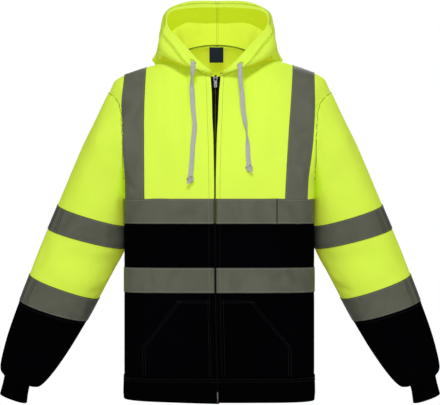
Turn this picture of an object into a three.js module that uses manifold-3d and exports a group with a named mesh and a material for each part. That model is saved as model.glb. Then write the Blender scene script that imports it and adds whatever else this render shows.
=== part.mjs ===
// A zipped high-visibility hoodie, filled out as if worn, with nothing in it.
// Millimetres, +Z up, front towards -Y. The origin is midway between the shoulders, at the height of
// the neck, where a wearer's shoulders hold the garment up.
// Cloth is a thin wall: a grid of points on the garment's outer surface, moved in by the wall's
// thickness. What lies on a panel is a patch of the panel's own grid, moved out.
import * as THREE from 'three';
import { mergeVertices } from 'three/addons/utils/BufferGeometryUtils.js';
import Module from 'manifold-3d';

const wasm = await Module();
wasm.setup();

// ---------------------------------------------------------------- driving dimensions
const CLOTH = 2;                  // fleece wall
const RIB = 3;                    // doubled rib of the cuffs and the hem band
const TAPE = 0.9;                 // reflective tape
const SEAM = 0.3;                 // gap left between two pieces that are sewn together

const ARMPIT_Z = -240;
const CHEST_TAPE_Z = { top: -280.5, bottom: -330.5 };
const WAIST_TAPE_Z = { top: -418.5, bottom: -468.5 };
const POCKET_Z = { top: -482, corner: -577 };
const HEM_SEAM_Z = -636;
const HEM_Z = -690;

const SIDE_X = { left: -194.4, right: 191.6 };  // the sides, from armpit to hem
const SIDE_Y = -15;                             // depth of the side seam
const FACE = {                                  // how far each face stands off the side seam's depth
  front: { sign: -1, depth: 110, power: 4, neckY: -88, neckZ: -33, neckBend: 1.5, roll: 1.3 },
  back: { sign: 1, depth: 140, power: 2.3, neckY: 70, neckZ: 37, neckBend: 1.2, roll: 1.7 },
};
const SHOULDER_TIP = { x: 228.5, z: -63 };
// The armhole's half depth front or back, how far it leans out, and how suddenly its top does.
const ARMHOLE = { depth: 78, flare: 5, bend: 10 };
const NECK = { x: -9, half: 66, z: 18 };        // middle and half width of the neck, height at its sides
const SHOULDER_ROLL = 2.2;                      // roundness of the shoulder from front to back

const lerp = THREE.MathUtils.lerp;
const clamp = THREE.MathUtils.clamp;
const smooth = (x, low, high) => THREE.MathUtils.smoothstep(x, low, high);
const point = (x, y, z) => new THREE.Vector3(x, y, z);

// A smooth curve of values through the rows of a table, read at a place along its first column.
function tableValue(rows, key, at, place) {
  let index = 0;
  while (index < rows.length - 2 && at > rows[index + 1][place]) index += 1;
  const near = (offset) => rows[clamp(index + offset, 0, rows.length - 1)];
  const t = clamp((at - near(0)[place]) / (near(1)[place] - near(0)[place]), 0, 1);
  const [a, b, c, d] = [near(-1)[key], near(0)[key], near(1)[key], near(2)[key]];
  return catmullRom(a, b, c, d, t);
}

function catmullRom(a, b, c, d, t) {
  const slopeB = (c - a) / 2;
  const slopeC = (d - b) / 2;
  return b + slopeB * t + (3 * (c - b) - 2 * slopeB - slopeC) * t * t
    + (2 * (b - c) + slopeB + slopeC) * t * t * t;
}

// ---------------------------------------------------------------- walls from grids of points
// A grid is rows of points. Its outward normals come from its neighbours, so a patch of it keeps them.
// `settle` may turn the normals along a seam, so that the two pieces sewn there end face to face.
function makeGrid(rows, { closed = false, flip = false, settle = null } = {}) {
  const count = rows[0].length;
  const normals = rows.map((row, r) => row.map((_, c) => {
    const up = rows[Math.min(r + 1, rows.length - 1)][c];
    const down = rows[Math.max(r - 1, 0)][c];
    const right = closed ? row[(c + 1) % count] : row[Math.min(c + 1, count - 1)];
    const left = closed ? row[(c + count - 1) % count] : row[Math.max(c - 1, 0)];
    const across = right.clone().sub(left);
    const along = up.clone().sub(down);
    const normal = across.cross(along).normalize();
    if (flip) normal.negate();
    if (settle) settle(normal, r, c, row[c]);
    return normal.normalize();
  }));
  return { rows, normals, closed, flip };
}

function stops(from, to) {
  const list = [from];
  for (let i = Math.floor(from) + 1; i < to - 1e-6; i += 1) list.push(i);
  list.push(to);
  return list;
}

// The grid's point and normal at a row and column that may lie between two of them.
function sample(grid, field, r, c) {
  const r0 = Math.min(Math.floor(r), grid.rows.length - 2);
  const columns = grid.rows[0].length;
  const c0 = grid.closed ? Math.floor(c) : Math.min(Math.floor(c), columns - 2);
  const c1 = grid.closed ? (c0 + 1) % columns : c0 + 1;
  const low = grid[field][r0][c0].clone().lerp(grid[field][r0][c1], c - c0);
  const high = grid[field][r0 + 1][c0].clone().lerp(grid[field][r0 + 1][c1], c - c0);
  return low.lerp(high, r - r0);
}

// A closed wall over a patch of a grid, from `inner` to `outer` along the grid's normals.
function wall(grid, { inner, outer, rows = null, columns = null }) {
  const rowStops = stops(...(rows ?? [0, grid.rows.length - 1]));
  const whole = grid.closed && !columns;
  const lastColumn = grid.rows[0].length - 1;
  const columnStops = stops(...(columns ?? [0, lastColumn]));
  const high = rowStops.length;
  const wide = columnStops.length;
  const positions = [];
  for (const offset of [outer, inner]) {
    for (const r of rowStops) {
      for (const c of columnStops) {
        const at = sample(grid, 'rows', r, c);
        at.addScaledVector(sample(grid, 'normals', r, c).normalize(), offset);
        positions.push(at.x, at.y, at.z);
      }
    }
  }
  const faces = [];
  const triangle = (a, b, c) => {
    if (grid.flip) faces.push(a, c, b);
    else faces.push(a, b, c);
  };
  const quad = (a, b, c, d, other = false) => {
    if (other) {
      triangle(a, b, d);
      triangle(b, c, d);
    } else {
      triangle(a, b, c);
      triangle(a, c, d);
    }
  };
  // Each square is split along its shorter diagonal, so that walls laid on each other match.
  const isOther = (r, c) => {
    const at = (row, column) => sample(grid, 'rows', rowStops[row], columnStops[column % wide]);
    return at(r, c + 1).distanceTo(at(r + 1, c)) < at(r, c).distanceTo(at(r + 1, c + 1)) - 1e-3;
  };
  const outside = (r, c) => r * wide + (c % wide);
  const inside = (r, c) => high * wide + r * wide + (c % wide);
  const acrossCount = whole ? wide : wide - 1;
  for (let r = 0; r < high - 1; r += 1) {
    for (let c = 0; c < acrossCount; c += 1) {
      const other = isOther(r, c);
      quad(outside(r, c), outside(r, c + 1), outside(r + 1, c + 1), outside(r + 1, c), other);
      quad(inside(r, c), inside(r + 1, c), inside(r + 1, c + 1), inside(r, c + 1), other);
    }
  }
  for (let c = 0; c < acrossCount; c += 1) {
    quad(inside(0, c), inside(0, c + 1), outside(0, c + 1), outside(0, c));
    quad(outside(high - 1, c), outside(high - 1, c + 1), inside(high - 1, c + 1), inside(high - 1, c));
  }
  if (!whole) {
    for (let r = 0; r < high - 1; r += 1) {
      quad(outside(r, 0), outside(r + 1, 0), inside(r + 1, 0), inside(r, 0));
      const end = wide - 1;
      quad(inside(r, end), inside(r + 1, end), outside(r + 1, end), outside(r, end));
    }
  }
  const geometry = new THREE.BufferGeometry();
  geometry.setAttribute('position', new THREE.Float32BufferAttribute(positions, 3));
  geometry.setIndex(faces);
  return geometry;
}

// ---------------------------------------------------------------- the body of the garment
// The zip's line, a little to the wearer's right of the middle at the top.
const CENTRE_LINE = [{ z: -690, x: -4.5 }, { z: -480, x: -9 }, { z: -240, x: -10 }, { z: 0, x: NECK.x }];
const centreX = (z) => tableValue(CENTRE_LINE, 'x', z, 'z');

// How far the two front edges stand apart over the zip.
const ZIP_GAP = [
  { z: -690, gap: 3 }, { z: -250, gap: 3.4 }, { z: -180, gap: 6 }, { z: -150, gap: 8 },
  { z: -120, gap: 11.6 }, { z: -66, gap: 15.4 }, { z: -33, gap: 20 },
];
const zipGap = (z) => tableValue(ZIP_GAP, 'gap', z, 'z');

// Height of the shoulder seam, from the neck out to the tip.
const SHOULDER_SEAM = {
  left: [
    { out: 0.28, z: 18 }, { out: 0.42, z: 7 }, { out: 0.55, z: -5 }, { out: 0.66, z: -13 },
    { out: 0.846, z: -26.5 }, { out: 0.94, z: -39 }, { out: 1, z: SHOULDER_TIP.z },
  ],
  right: [
    { out: 0.28, z: 18 }, { out: 0.42, z: 10 }, { out: 0.55, z: 1 }, { out: 0.66, z: -7 },
    { out: 0.846, z: -22 }, { out: 0.94, z: -35.5 }, { out: 1, z: SHOULDER_TIP.z },
  ],
};

// The armhole: `rise` goes from 0 at the armpit to 1 at the shoulder tip.
function armholePoint(side, face, turn) {
  const rise = Math.sin(turn) ** 2;
  const start = SIDE_X[side];
  const sign = Math.sign(start);
  const last = sign * (SHOULDER_TIP.x - ARMHOLE.flare) - start;
  const x = start + sign * ARMHOLE.flare * rise + last * rise ** ARMHOLE.bend;
  const y = SIDE_Y * (1 - rise) + face.sign * ARMHOLE.depth * 2 * Math.sin(turn) * Math.cos(turn);
  const z = lerp(ARMPIT_Z, SHOULDER_TIP.z, rise);
  return point(x, y, z);
}

// The neck's edge, as a part of the way across from the middle to the shoulder tip.
const neckAcross = (side) => NECK.half / Math.abs(Math.sign(SIDE_X[side]) * SHOULDER_TIP.x - NECK.x);

// A point of the body's surface. `across` runs from 0 at the zip or centre back to 1 at the side seam
// or armhole. `height` is z up to the armpit, and above it runs on to 0 at the neck and shoulder seam.
function bodyPoint(side, face, across, height) {
  const reach = (1 - across ** face.power) ** (1 / face.power);
  if (height <= ARMPIT_Z) {
    const centre = centreX(height);
    const x = centre + across * (SIDE_X[side] - centre);
    return point(x, SIDE_Y + face.sign * face.depth * reach, height);
  }
  const centre = centreX(height);
  const turn = (1 - height / ARMPIT_Z) * Math.PI / 2;
  const hole = armholePoint(side, face, turn);
  const neck = neckAcross(side);
  const round = Math.sqrt(Math.max(0, 1 - (across / neck) ** 2));
  let topZ = NECK.z + (face.neckZ - NECK.z) * round ** face.neckBend;
  if (across > neck) topZ = tableValue(SHOULDER_SEAM[side], 'z', across, 'out');
  const topY = face.neckY * round;
  const roll = lerp(face.roll, SHOULDER_ROLL, smooth(across, 0.1, 0.55));
  const power = lerp(2 / roll, 2, smooth(across, 0.6, 1));
  const up = Math.sin(turn) ** power;
  const forward = Math.cos(turn) ** (2 / roll);
  const chestY = SIDE_Y + face.sign * face.depth;
  const middleY = lerp(topY, chestY, forward);
  return point(
    centre + across * (hole.x - centre),
    hole.y * (1 - reach) + middleY * reach,
    lerp(ARMPIT_Z, topZ, up),
  );
}

// The two edges of the tape over each shoulder, 50 mm apart where it lies flat.
const SHOULDER_TAPE = {
  left: {
    inner: [{ z: -280, x: -151 }, { z: -120, x: -152.5 }, { z: 0, x: -150 }],
    outer: [
      { z: -280, x: -190.5 }, { z: -233, x: -191 }, { z: -183, x: -194.4 }, { z: -108, x: -198 },
      { z: -84, x: -198.4 }, { z: -34, x: -195 }, { z: 0, x: -193 },
    ],
  },
  right: {
    inner: [
      { z: -280, x: 129.5 }, { z: -207, x: 134 }, { z: -131, x: 139 }, { z: -66, x: 144 }, { z: 0, x: 148.5 },
    ],
    outer: [
      { z: -280, x: 174.5 }, { z: -233, x: 177 }, { z: -208, x: 181 }, { z: -183, x: 185.5 },
      { z: -108, x: 190.4 }, { z: -34, x: 192 }, { z: 0, x: 193 },
    ],
  },
};

const NEAR_MIDDLE = 0.02;         // parts of the way across that stand for the middle and the side
const AT_SIDE = 0.99999;
const TAPE_EDGE = { start: 0.8, passes: 10, last: 0.992 };

function tapeEdge(side, edge, face, height) {
  let across = TAPE_EDGE.start;
  for (let pass = 0; pass < TAPE_EDGE.passes; pass += 1) {
    const at = bodyPoint(side, face, across, height);
    const x = tableValue(SHOULDER_TAPE[side][edge], 'x', at.z, 'z');
    const centre = centreX(height);
    across = Math.min(across * (x - centre) / (at.x - centre), TAPE_EDGE.last);
  }
  return across;
}

// Columns of the upper body on one side: neck, shoulder, tape, and out to the armhole.
const NECK_COLUMNS = 5;
const COLLAR_COLUMNS = 3;
const TAPE_COLUMNS = 3;
const ARM_COLUMNS = 4;
const TAPE_AT = NECK_COLUMNS + COLLAR_COLUMNS;

function upperColumns(side, face, height) {
  const hole = height <= ARMPIT_Z ? SIDE_X[side]
    : armholePoint(side, face, (1 - height / ARMPIT_Z) * Math.PI / 2).x;
  const span = Math.abs(hole - centreX(height));
  const neck = neckAcross(side);
  const middleZ = height <= ARMPIT_Z ? height : bodyPoint(side, face, NEAR_MIDDLE, height).z;
  const edge = face === FACE.front ? zipGap(middleZ) / 2 / span : 0;
  const startTurn = Math.asin(clamp(edge / neck, 0, 1));
  const inner = tapeEdge(side, 'inner', face, height);
  const outer = tapeEdge(side, 'outer', face, height);
  const list = [];
  for (let i = 0; i < NECK_COLUMNS; i += 1) {
    list.push(neck * Math.sin(lerp(startTurn, Math.PI / 2, i / NECK_COLUMNS)));
  }
  for (let i = 0; i < COLLAR_COLUMNS; i += 1) list.push(lerp(neck, inner, i / COLLAR_COLUMNS));
  for (let i = 0; i < TAPE_COLUMNS; i += 1) list.push(lerp(inner, outer, i / TAPE_COLUMNS));
  const outerTurn = Math.acos(outer ** (face.power / 2));
  for (let i = 0; i <= ARM_COLUMNS; i += 1) {
    list.push(Math.cos(outerTurn * (1 - i / ARM_COLUMNS)) ** (2 / face.power));
  }
  return list;
}

// Columns of the lower body: up to the pocket's inner edge, its outer edge, and the side seam.
const POCKET = { inner: 13, topCorner: 74, lowCorner: 150 };
const POCKET_COLUMNS = 5;
const SIDE_COLUMNS = 6;

function lowerColumns(side, face, height) {
  const span = Math.abs(SIDE_X[side] - centreX(height));
  const edge = face === FACE.front ? zipGap(height) / 2 / span : 0;
  const slant = clamp((height - POCKET_Z.top) / (POCKET_Z.corner - POCKET_Z.top), 0, 1);
  const outer = lerp(POCKET.topCorner, POCKET.lowCorner, slant) / span;
  const inner = POCKET.inner / span;
  const list = [edge];
  for (let i = 0; i < POCKET_COLUMNS; i += 1) list.push(lerp(inner, outer, i / POCKET_COLUMNS));
  const outerTurn = Math.acos(outer ** (face.power / 2));
  for (let i = 0; i <= SIDE_COLUMNS; i += 1) {
    list.push(Math.cos(outerTurn * (1 - i / SIDE_COLUMNS)) ** (2 / face.power));
  }
  return list;
}

// Rows of heights, each a list of points from the wearer's right to left for a face's columns.
function sideRow(side, face, height, columnsOf) {
  return columnsOf(side, face, height).map((across) => {
    const at = bodyPoint(side, face, Math.min(across, 1), height);
    const onSide = across > AT_SIDE && height <= ARMPIT_Z;
    const onShoulder = height === 0 && across > neckAcross(side) - NEAR_MIDDLE;
    if (onSide || onShoulder) at.y += face.sign * SEAM / 2;
    return at;
  });
}

// Eases the turn where the body's wall runs out into the armhole, from row to row of one face.
const EASE = { from: -322, full: -282, fade: -150, to: -82, passes: 3 };

function easeRows(rows, side, face, columnsOf) {
  for (let pass = 0; pass < EASE.passes; pass += 1) {
    const before = rows.map((row) => row.map((at) => at.clone()));
    for (let r = 1; r < rows.length - 1; r += 1) {
      const across = columnsOf(side, face, UPPER_HEIGHTS[r]);
      rows[r].forEach((at, c) => {
        const [low, high] = [before[r - 1][c], before[r + 1][c]];
        const even = low.clone().lerp(high, clamp((at.z - low.z) / (high.z - low.z), 0, 1));
        const part = smooth(across[c], 0.35, 0.65) * (1 - smooth(across[c], 0.9, 1))
          * smooth(at.z, EASE.from, EASE.full) * (1 - smooth(at.z, EASE.fade, EASE.to));
        at.lerp(even, part / 2);
      });
    }
  }
}

function sideRows(side, face, heights, columnsOf) {
  const rows = heights.map((height) => sideRow(side, face, height, columnsOf));
  if (heights === UPPER_HEIGHTS) easeRows(rows, side, face, columnsOf);
  return rows;
}

// Along the armhole the walls of body and sleeve both point away from the armhole's middle.
function settleArmhole(normal, at) {
  const rise = (at.z - ARMPIT_Z) / (SHOULDER_TIP.z - ARMPIT_Z);
  const middle = point(0, SIDE_Y * (1 - rise), lerp(ARMPIT_Z, SHOULDER_TIP.z, 0.5));
  const radial = point(0, at.y - middle.y, at.z - middle.z).normalize();
  normal.lerp(radial, smooth(rise, 0.02, 0.25));
}

// Front and back end face to face along the side seams and the shoulder seams.
function settleBody(heights, isArm, isShoulder) {
  return (normal, r, c, at) => {
    const height = heights[r];
    if (isArm(c) && height > ARMPIT_Z) settleArmhole(normal, at);
    if (isArm(c) && height <= ARMPIT_Z) normal.y = 0;
    if (isShoulder(c) && r === heights.length - 1) normal.y = 0;
  };
}

function panelGrid(side, face, heights, columnsOf) {
  const rows = sideRows(side, face, heights, columnsOf);
  const flip = (side === 'left') !== (face === FACE.back);
  const isArm = (c) => c === rows[0].length - 1;
  const isShoulder = (c) => heights === UPPER_HEIGHTS && c >= NECK_COLUMNS;
  return makeGrid(rows, { flip, settle: settleBody(heights, isArm, isShoulder) });
}

function backGrid(heights, columnsOf) {
  const left = sideRows('left', FACE.back, heights, columnsOf);
  const rows = sideRows('right', FACE.back, heights, columnsOf)
    .map((row, r) => [...row.reverse(), ...left[r].slice(1)]);
  const middle = (rows[0].length - 1) / 2;
  const isArm = (c) => Math.abs(c - middle) === middle;
  const isShoulder = (c) => heights === UPPER_HEIGHTS && Math.abs(c - middle) >= NECK_COLUMNS;
  return makeGrid(rows, { settle: settleBody(heights, isArm, isShoulder) });
}

// Levels of the armhole, as parts of the way round it from the armpit to the shoulder tip.
const ARMHOLE_STOPS = [0, 0.14, 0.28, 0.42, 0.56, 0.7, 0.82, 0.92, 1];
const UPPER_HEIGHTS = [
  CHEST_TAPE_Z.bottom + SEAM / 2, (CHEST_TAPE_Z.top + CHEST_TAPE_Z.bottom) / 2, CHEST_TAPE_Z.top,
  (CHEST_TAPE_Z.top + ARMPIT_Z) / 2,
  ...ARMHOLE_STOPS.map((part) => ARMPIT_Z * (1 - part)),
];
const CHEST_ROWS = [0, 2];                              // rows of UPPER_HEIGHTS under the chest tape
const LOWER_HEIGHTS = [
  HEM_SEAM_Z + SEAM / 2, -606, POCKET_Z.corner, -545, -513, POCKET_Z.top, WAIST_TAPE_Z.bottom,
  (WAIST_TAPE_Z.top + WAIST_TAPE_Z.bottom) / 2, WAIST_TAPE_Z.top, -374, CHEST_TAPE_Z.bottom - SEAM / 2,
];
const POCKET_ROWS = [0, 5];
const WAIST_ROWS = [6, 8];
const HEM_HEIGHTS = [HEM_Z, (HEM_Z + HEM_SEAM_Z) / 2, HEM_SEAM_Z - SEAM / 2];

const upperFront = {};
const lowerFront = {};
for (const side of ['left', 'right']) {
  upperFront[side] = panelGrid(side, FACE.front, UPPER_HEIGHTS, upperColumns);
  lowerFront[side] = panelGrid(side, FACE.front, LOWER_HEIGHTS, lowerColumns);
}
const upperBack = backGrid(UPPER_HEIGHTS, upperColumns);
const lowerBack = backGrid(LOWER_HEIGHTS, lowerColumns);

// ---------------------------------------------------------------- sleeves
// Each section's outer and inner ends seen from the front, its half depth, the depth of its middle and
// how much lower its front hangs. `out` is measured from the origin to either side.
const SLEEVE = [
  { outX: 258.5, outZ: -124, inX: 193, inZ: -268, half: 76, mid: 3, drop: 4 },
  { outX: 286, outZ: -180, inX: 191.5, inZ: -290, half: 72, mid: 10, drop: 6 },
  { outX: 333.5, outZ: -292, inX: 190, inZ: -334, half: 66, mid: 20, drop: 8 },
  { outX: 354, outZ: -340, inX: 194, inZ: -381, half: 64, mid: 24, drop: 8 },
  { outX: 374.3, outZ: -388, inX: 222, inZ: -433, half: 60, mid: 28, drop: 8 },
  { outX: 392.6, outZ: -435, inX: 249, inZ: -484, half: 55, mid: 32, drop: 8 },
  { outX: 413, outZ: -488, inX: 274, inZ: -530, half: 53, mid: 34, drop: 8 },
  { outX: 438, outZ: -558, inX: 314, inZ: -596, half: 49, mid: 38, drop: 6 },
  { outX: 452.5, outZ: -614, inX: 350, inZ: -646, half: 44, mid: 40, drop: 4 },
  { outX: 453, outZ: -634, inX: 374, inZ: -668, half: 36, mid: 40, drop: 3 },
  { outX: 446, outZ: -647, inX: 393, inZ: -667, half: 27, mid: 40, drop: 2 },
  { outX: 455, outZ: -683.5, inX: 400, inZ: -702.5, half: 26, mid: 42, drop: 2 },
];
const BAND_TOP = { from: 3, to: 4 };            // rows of the sleeve under its two bands
const BAND_LOW = { from: 6, to: 7 };
const CUFF_ROWS = { from: 11, to: 12 };
const SLEEVE_POWER = 2.2;
const BODY_CLEARANCE = 2.6;
const CLEARANCE_TOP = ARMPIT_Z + 20;            // above this the sleeve stands clear by itself
const SLEEVE_SEAM = 0.85;                       // gap between body and sleeve round the armhole

const powerOf = (value, power) => Math.sign(value) * Math.abs(value) ** (2 / power);

// Keeps a sleeve's point off the side of the body that it hangs against.
function clearOfBody(side, at) {
  if (at.z > CLEARANCE_TOP) return at;
  const face = at.y < SIDE_Y ? FACE.front : FACE.back;
  const depth = clamp(Math.abs(at.y - SIDE_Y) / face.depth, 0, 1);
  const centre = centreX(at.z);
  const reach = (1 - depth ** face.power) ** (1 / face.power);
  const least = centre + (SIDE_X[side] - centre) * reach + Math.sign(SIDE_X[side]) * BODY_CLEARANCE;
  if (side === 'left') at.x = Math.min(at.x, least);
  else at.x = Math.max(at.x, least);
  return at;
}

function sleeveRings(side) {
  const sign = Math.sign(SIDE_X[side]);
  const half = ARMHOLE_STOPS.map((part) => (1 - part) * Math.PI).reverse();
  const turns = [...half, ...half.slice(1, -1).reverse().map((turn) => 2 * Math.PI - turn)];
  const hole = turns.map((turn) => {
    const face = turn <= Math.PI ? FACE.front : FACE.back;
    const at = armholePoint(side, face, (Math.PI - (turn <= Math.PI ? turn : 2 * Math.PI - turn)) / 2);
    at.x += sign * SLEEVE_SEAM;
    return at;
  });
  const rings = SLEEVE.map((row) => turns.map((turn) => {
    const out = powerOf(Math.cos(turn), SLEEVE_POWER);
    const ahead = powerOf(Math.sin(turn), SLEEVE_POWER);
    const x = lerp(row.inX, row.outX, (1 + out) / 2) * sign;
    const z = lerp(row.inZ, row.outZ, (1 + out) / 2) - row.drop * ahead;
    return clearOfBody(side, point(x, row.mid - row.half * ahead, z));
  }));
  return [hole, ...rings];
}

// Rings between the table's, on a smooth curve through each column.
function ringBetween(rings, at) {
  const index = Math.min(Math.floor(at), rings.length - 2);
  const t = at - index;
  const near = (offset) => rings[clamp(index + offset, 0, rings.length - 1)];
  return rings[0].map((_, c) => point(...['x', 'y', 'z'].map(
    (axis) => catmullRom(near(-1)[c][axis], near(0)[c][axis], near(1)[c][axis], near(2)[c][axis], t),
  )));
}

const SLEEVE_STOPS = [0, 0.5, 1, 2, 3, 3.5, 4, 5, 6, 6.5, 7, 8, 9, 10, 11, 12];
const stopOf = (ring) => SLEEVE_STOPS.indexOf(ring);
const sleeveGrid = {};
for (const side of ['left', 'right']) {
  const rings = sleeveRings(side);
  const rows = SLEEVE_STOPS.map((at) => ringBetween(rings, at).map((p) => clearOfBody(side, p)));
  const settle = (normal, r, c, at) => {
    if (r === 0) settleArmhole(normal, at);
  };
  sleeveGrid[side] = makeGrid(rows, { closed: true, flip: side === 'left', settle });
}

// ---------------------------------------------------------------- hood
// The hood lies half back and is propped open. From the neck seam its cloth stands up to a ridge,
// goes over it and down to a fold, and comes up again outside, over the crown and down to the rim.
// Each row is one section of a half, from the centre back (0) to the zip (1): [out, y, z].
const HOOD = [
  { place: 0, ridge: [0, 92, 85], fold: [0, 134, -42], back: [0, 184, 34], crown: [0, 140, 136],
    rim: [0, 85, 121] },
  { place: 0.12, ridge: [40, 84, 84], fold: [66, 130, -30], back: [84, 165, 36], crown: [66, 125, 135],
    rim: [46, 76, 119] },
  { place: 0.25, ridge: [74, 60, 79], fold: [114, 92, -8], back: [119, 105, 40], crown: [109, 84, 111.5],
    rim: [87, 52, 112] },
  { place: 0.4, ridge: [90, 14, 58], fold: [132.5, 22, 3], back: [122.5, 25, 32], crown: [106.5, 22, 80],
    rim: [105, 15, 95] },
  { place: 0.55, ridge: [76, -34, 32], fold: [106, -40, 0], back: [118, -42, 26], crown: [112, -36, 52],
    rim: [98, -25, 68] },
  { place: 0.7, ridge: [56, -67, 8], fold: [78, -76, -10], back: [86, -80, 2], crown: [82, -74, 22],
    rim: [72, -62, 38] },
  { place: 0.85, ridge: [37, -86, -20], fold: [46, -91, -21], back: [50, -94, -14], crown: [48, -92, -5],
    rim: [43, -87, 4] },
  { place: 1, ridge: [10, -90, -32], fold: [11, -92, -31], back: [12, -95, -30], crown: [12.5, -98, -28],
    rim: [13, -101, -26] },
];
const HOOD_X = -5.5;
const NECK_SEAM = 1.6;                          // how far above the neckline the hood's wall starts
const HOOD_HEM = { round: 23, zip: 30, from: 0.56, to: 0.78 };  // its width, which grows towards the zip
const HOOD_HEM_WALL = { inner: -2.4, outer: 0.6 };  // doubled cloth, the drawcord's channel
const HEM_GAP = 1.2;
const HOOD_ROWS = 13;
const HOOD_HEM_ROWS = 2;
const HOOD_COLUMNS = 2 * NECK_COLUMNS;

function neckPoint(sign, turn) {
  const face = turn >= 0 ? FACE.front : FACE.back;
  const ahead = Math.abs(Math.sin(turn));
  const z = NECK.z + (face.neckZ - NECK.z) * ahead ** face.neckBend;
  return point(NECK.x + sign * NECK.half * Math.cos(turn), face.neckY * ahead, z);
}

function hoodSection(sign, turn, place) {
  const parts = ['ridge', 'fold', 'back', 'crown', 'rim'].map((name) => {
    const columns = HOOD.map((row) => ({ place: row.place, x: row[name][0], y: row[name][1], z: row[name][2] }));
    const read = (key) => tableValue(columns, key, place, 'place');
    return point(HOOD_X + sign * read('x'), read('y'), read('z'));
  });
  const neck = neckPoint(sign, turn);
  neck.z += NECK_SEAM;
  if (place === 0) neck.x = HOOD_X;
  const line = new THREE.CatmullRomCurve3([neck, ...parts], false, 'centripetal');
  line.arcLengthDivisions = 400;
  const length = line.getLength();
  const wide = lerp(HOOD_HEM.round, HOOD_HEM.zip, smooth(place, HOOD_HEM.from, HOOD_HEM.to));
  const hem = Math.min(wide, length / 2);
  const list = [];
  for (let i = 0; i <= HOOD_ROWS; i += 1) list.push((length - hem - HEM_GAP) * i / HOOD_ROWS);
  for (let i = 0; i <= HOOD_HEM_ROWS; i += 1) list.push(length - hem + hem * i / HOOD_HEM_ROWS);
  return list.map((at) => {
    const p = line.getPointAt(clamp(at / length, 0, 1));
    p.x += place === 0 ? sign * SEAM / 2 : 0;
    return p;
  });
}

const hoodGrid = {};
for (const side of ['left', 'right']) {
  const sign = Math.sign(SIDE_X[side]);
  const first = Math.acos(zipGap(-33) / 2 / NECK.half);
  const sections = [];
  for (let i = 0; i <= HOOD_COLUMNS; i += 1) {
    const turn = i < NECK_COLUMNS ? -Math.PI / 2 * (1 - i / NECK_COLUMNS)
      : first * (i - NECK_COLUMNS) / NECK_COLUMNS;
    sections.push(hoodSection(sign, turn, (turn + Math.PI / 2) / (first + Math.PI / 2)));
  }
  const rows = sections[0].map((_, r) => sections.map((section) => section[r]));
  const settle = (normal, r, c) => {
    if (c === 0) normal.x = 0;
  };
  hoodGrid[side] = makeGrid(rows, { flip: side === 'right', settle });
  for (let c = 0; c <= HOOD_COLUMNS; c += 1) {
    const [end, start] = [HOOD_ROWS, HOOD_ROWS + 1].map((r) => hoodGrid[side].normals[r][c]);
    start.add(end).normalize();
    end.copy(start);
  }
}

// ---------------------------------------------------------------- zip
const ZIP = { chainHalf: 2.5, tapeFrom: 2.8, tapeTo: 15, tapeDepth: 3.1, tape: 0.8, chain: 2.2 };
const ZIP_BOX = { half: 3, deep: 4, high: 8 };
const ZIP_TOP = -6;                             // heights along the front edge
const zipHeights = [
  HEM_Z + ZIP_BOX.high + SEAM, ...LOWER_HEIGHTS, ...UPPER_HEIGHTS.slice(1, -1), ZIP_TOP,
];

function zipGrid(side, from, to) {
  const rows = zipHeights.map((height) => {
    const base = bodyPoint(side, FACE.front, 0, height);
    return [from, (from + to) / 2, to].map((x) => {
      const span = Math.abs(SIDE_X[side] - centreX(height));
      const at = bodyPoint(side, FACE.front, Math.abs(x) / span, height);
      return point(base.x + x, at.y, at.z);
    });
  });
  return makeGrid(rows, { flip: to < from });
}

const SLIDER_HEIGHT = -31;                      // where the slider stands along the front edge
const SLIDER = {
  top: 4.4, bottom: 3.4, up: 4.5, down: 5, shoulder: 1.8, flat: 2.2, thick: 3.4, gap: SEAM,
  bridge: 2.6, bridgeHalf: 1.2, hole: 1.35, stand: 3, root: 0.5,
};
const PULL = {
  half: 3.6, foot: 2.88, length: 21, corner: 2, thick: 1.4, windowHalf: 2.2, windowTop: 0.7, windowLow: 5.4,
};

const SLIDER_REACH = { above: 6, below: 12 };    // how much of the front edge sets the slider's lean

function sliderPlace() {
  const at = bodyPoint('right', FACE.front, 0, SLIDER_HEIGHT);
  const above = bodyPoint('right', FACE.front, 0, SLIDER_HEIGHT + SLIDER_REACH.above);
  const below = bodyPoint('right', FACE.front, 0, SLIDER_HEIGHT - SLIDER_REACH.below);
  const up = above.sub(below).normalize();
  const out = point(0, -up.z, up.y);
  return { at: at.addScaledVector(out, -ZIP.tapeDepth), up, out, lean: -Math.asin(up.y) };
}

function toManifold(geometry) {
  const plain = geometry.clone();
  plain.deleteAttribute('normal');
  plain.deleteAttribute('uv');
  const merged = mergeVertices(plain, 1e-4);
  return new wasm.Manifold(new wasm.Mesh({
    numProp: 3,
    vertProperties: new Float32Array(merged.attributes.position.array),
    triVerts: new Uint32Array(merged.index.array),
  }));
}

function fromManifold(solid) {
  const mesh = solid.getMesh();
  const geometry = new THREE.BufferGeometry();
  geometry.setAttribute('position', new THREE.Float32BufferAttribute(Array.from(mesh.vertProperties), 3));
  geometry.setIndex(Array.from(mesh.triVerts));
  return geometry;
}

function extruded(shape, depth) {
  return new THREE.ExtrudeGeometry(shape, { depth, bevelEnabled: false, curveSegments: 10 });
}

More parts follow.
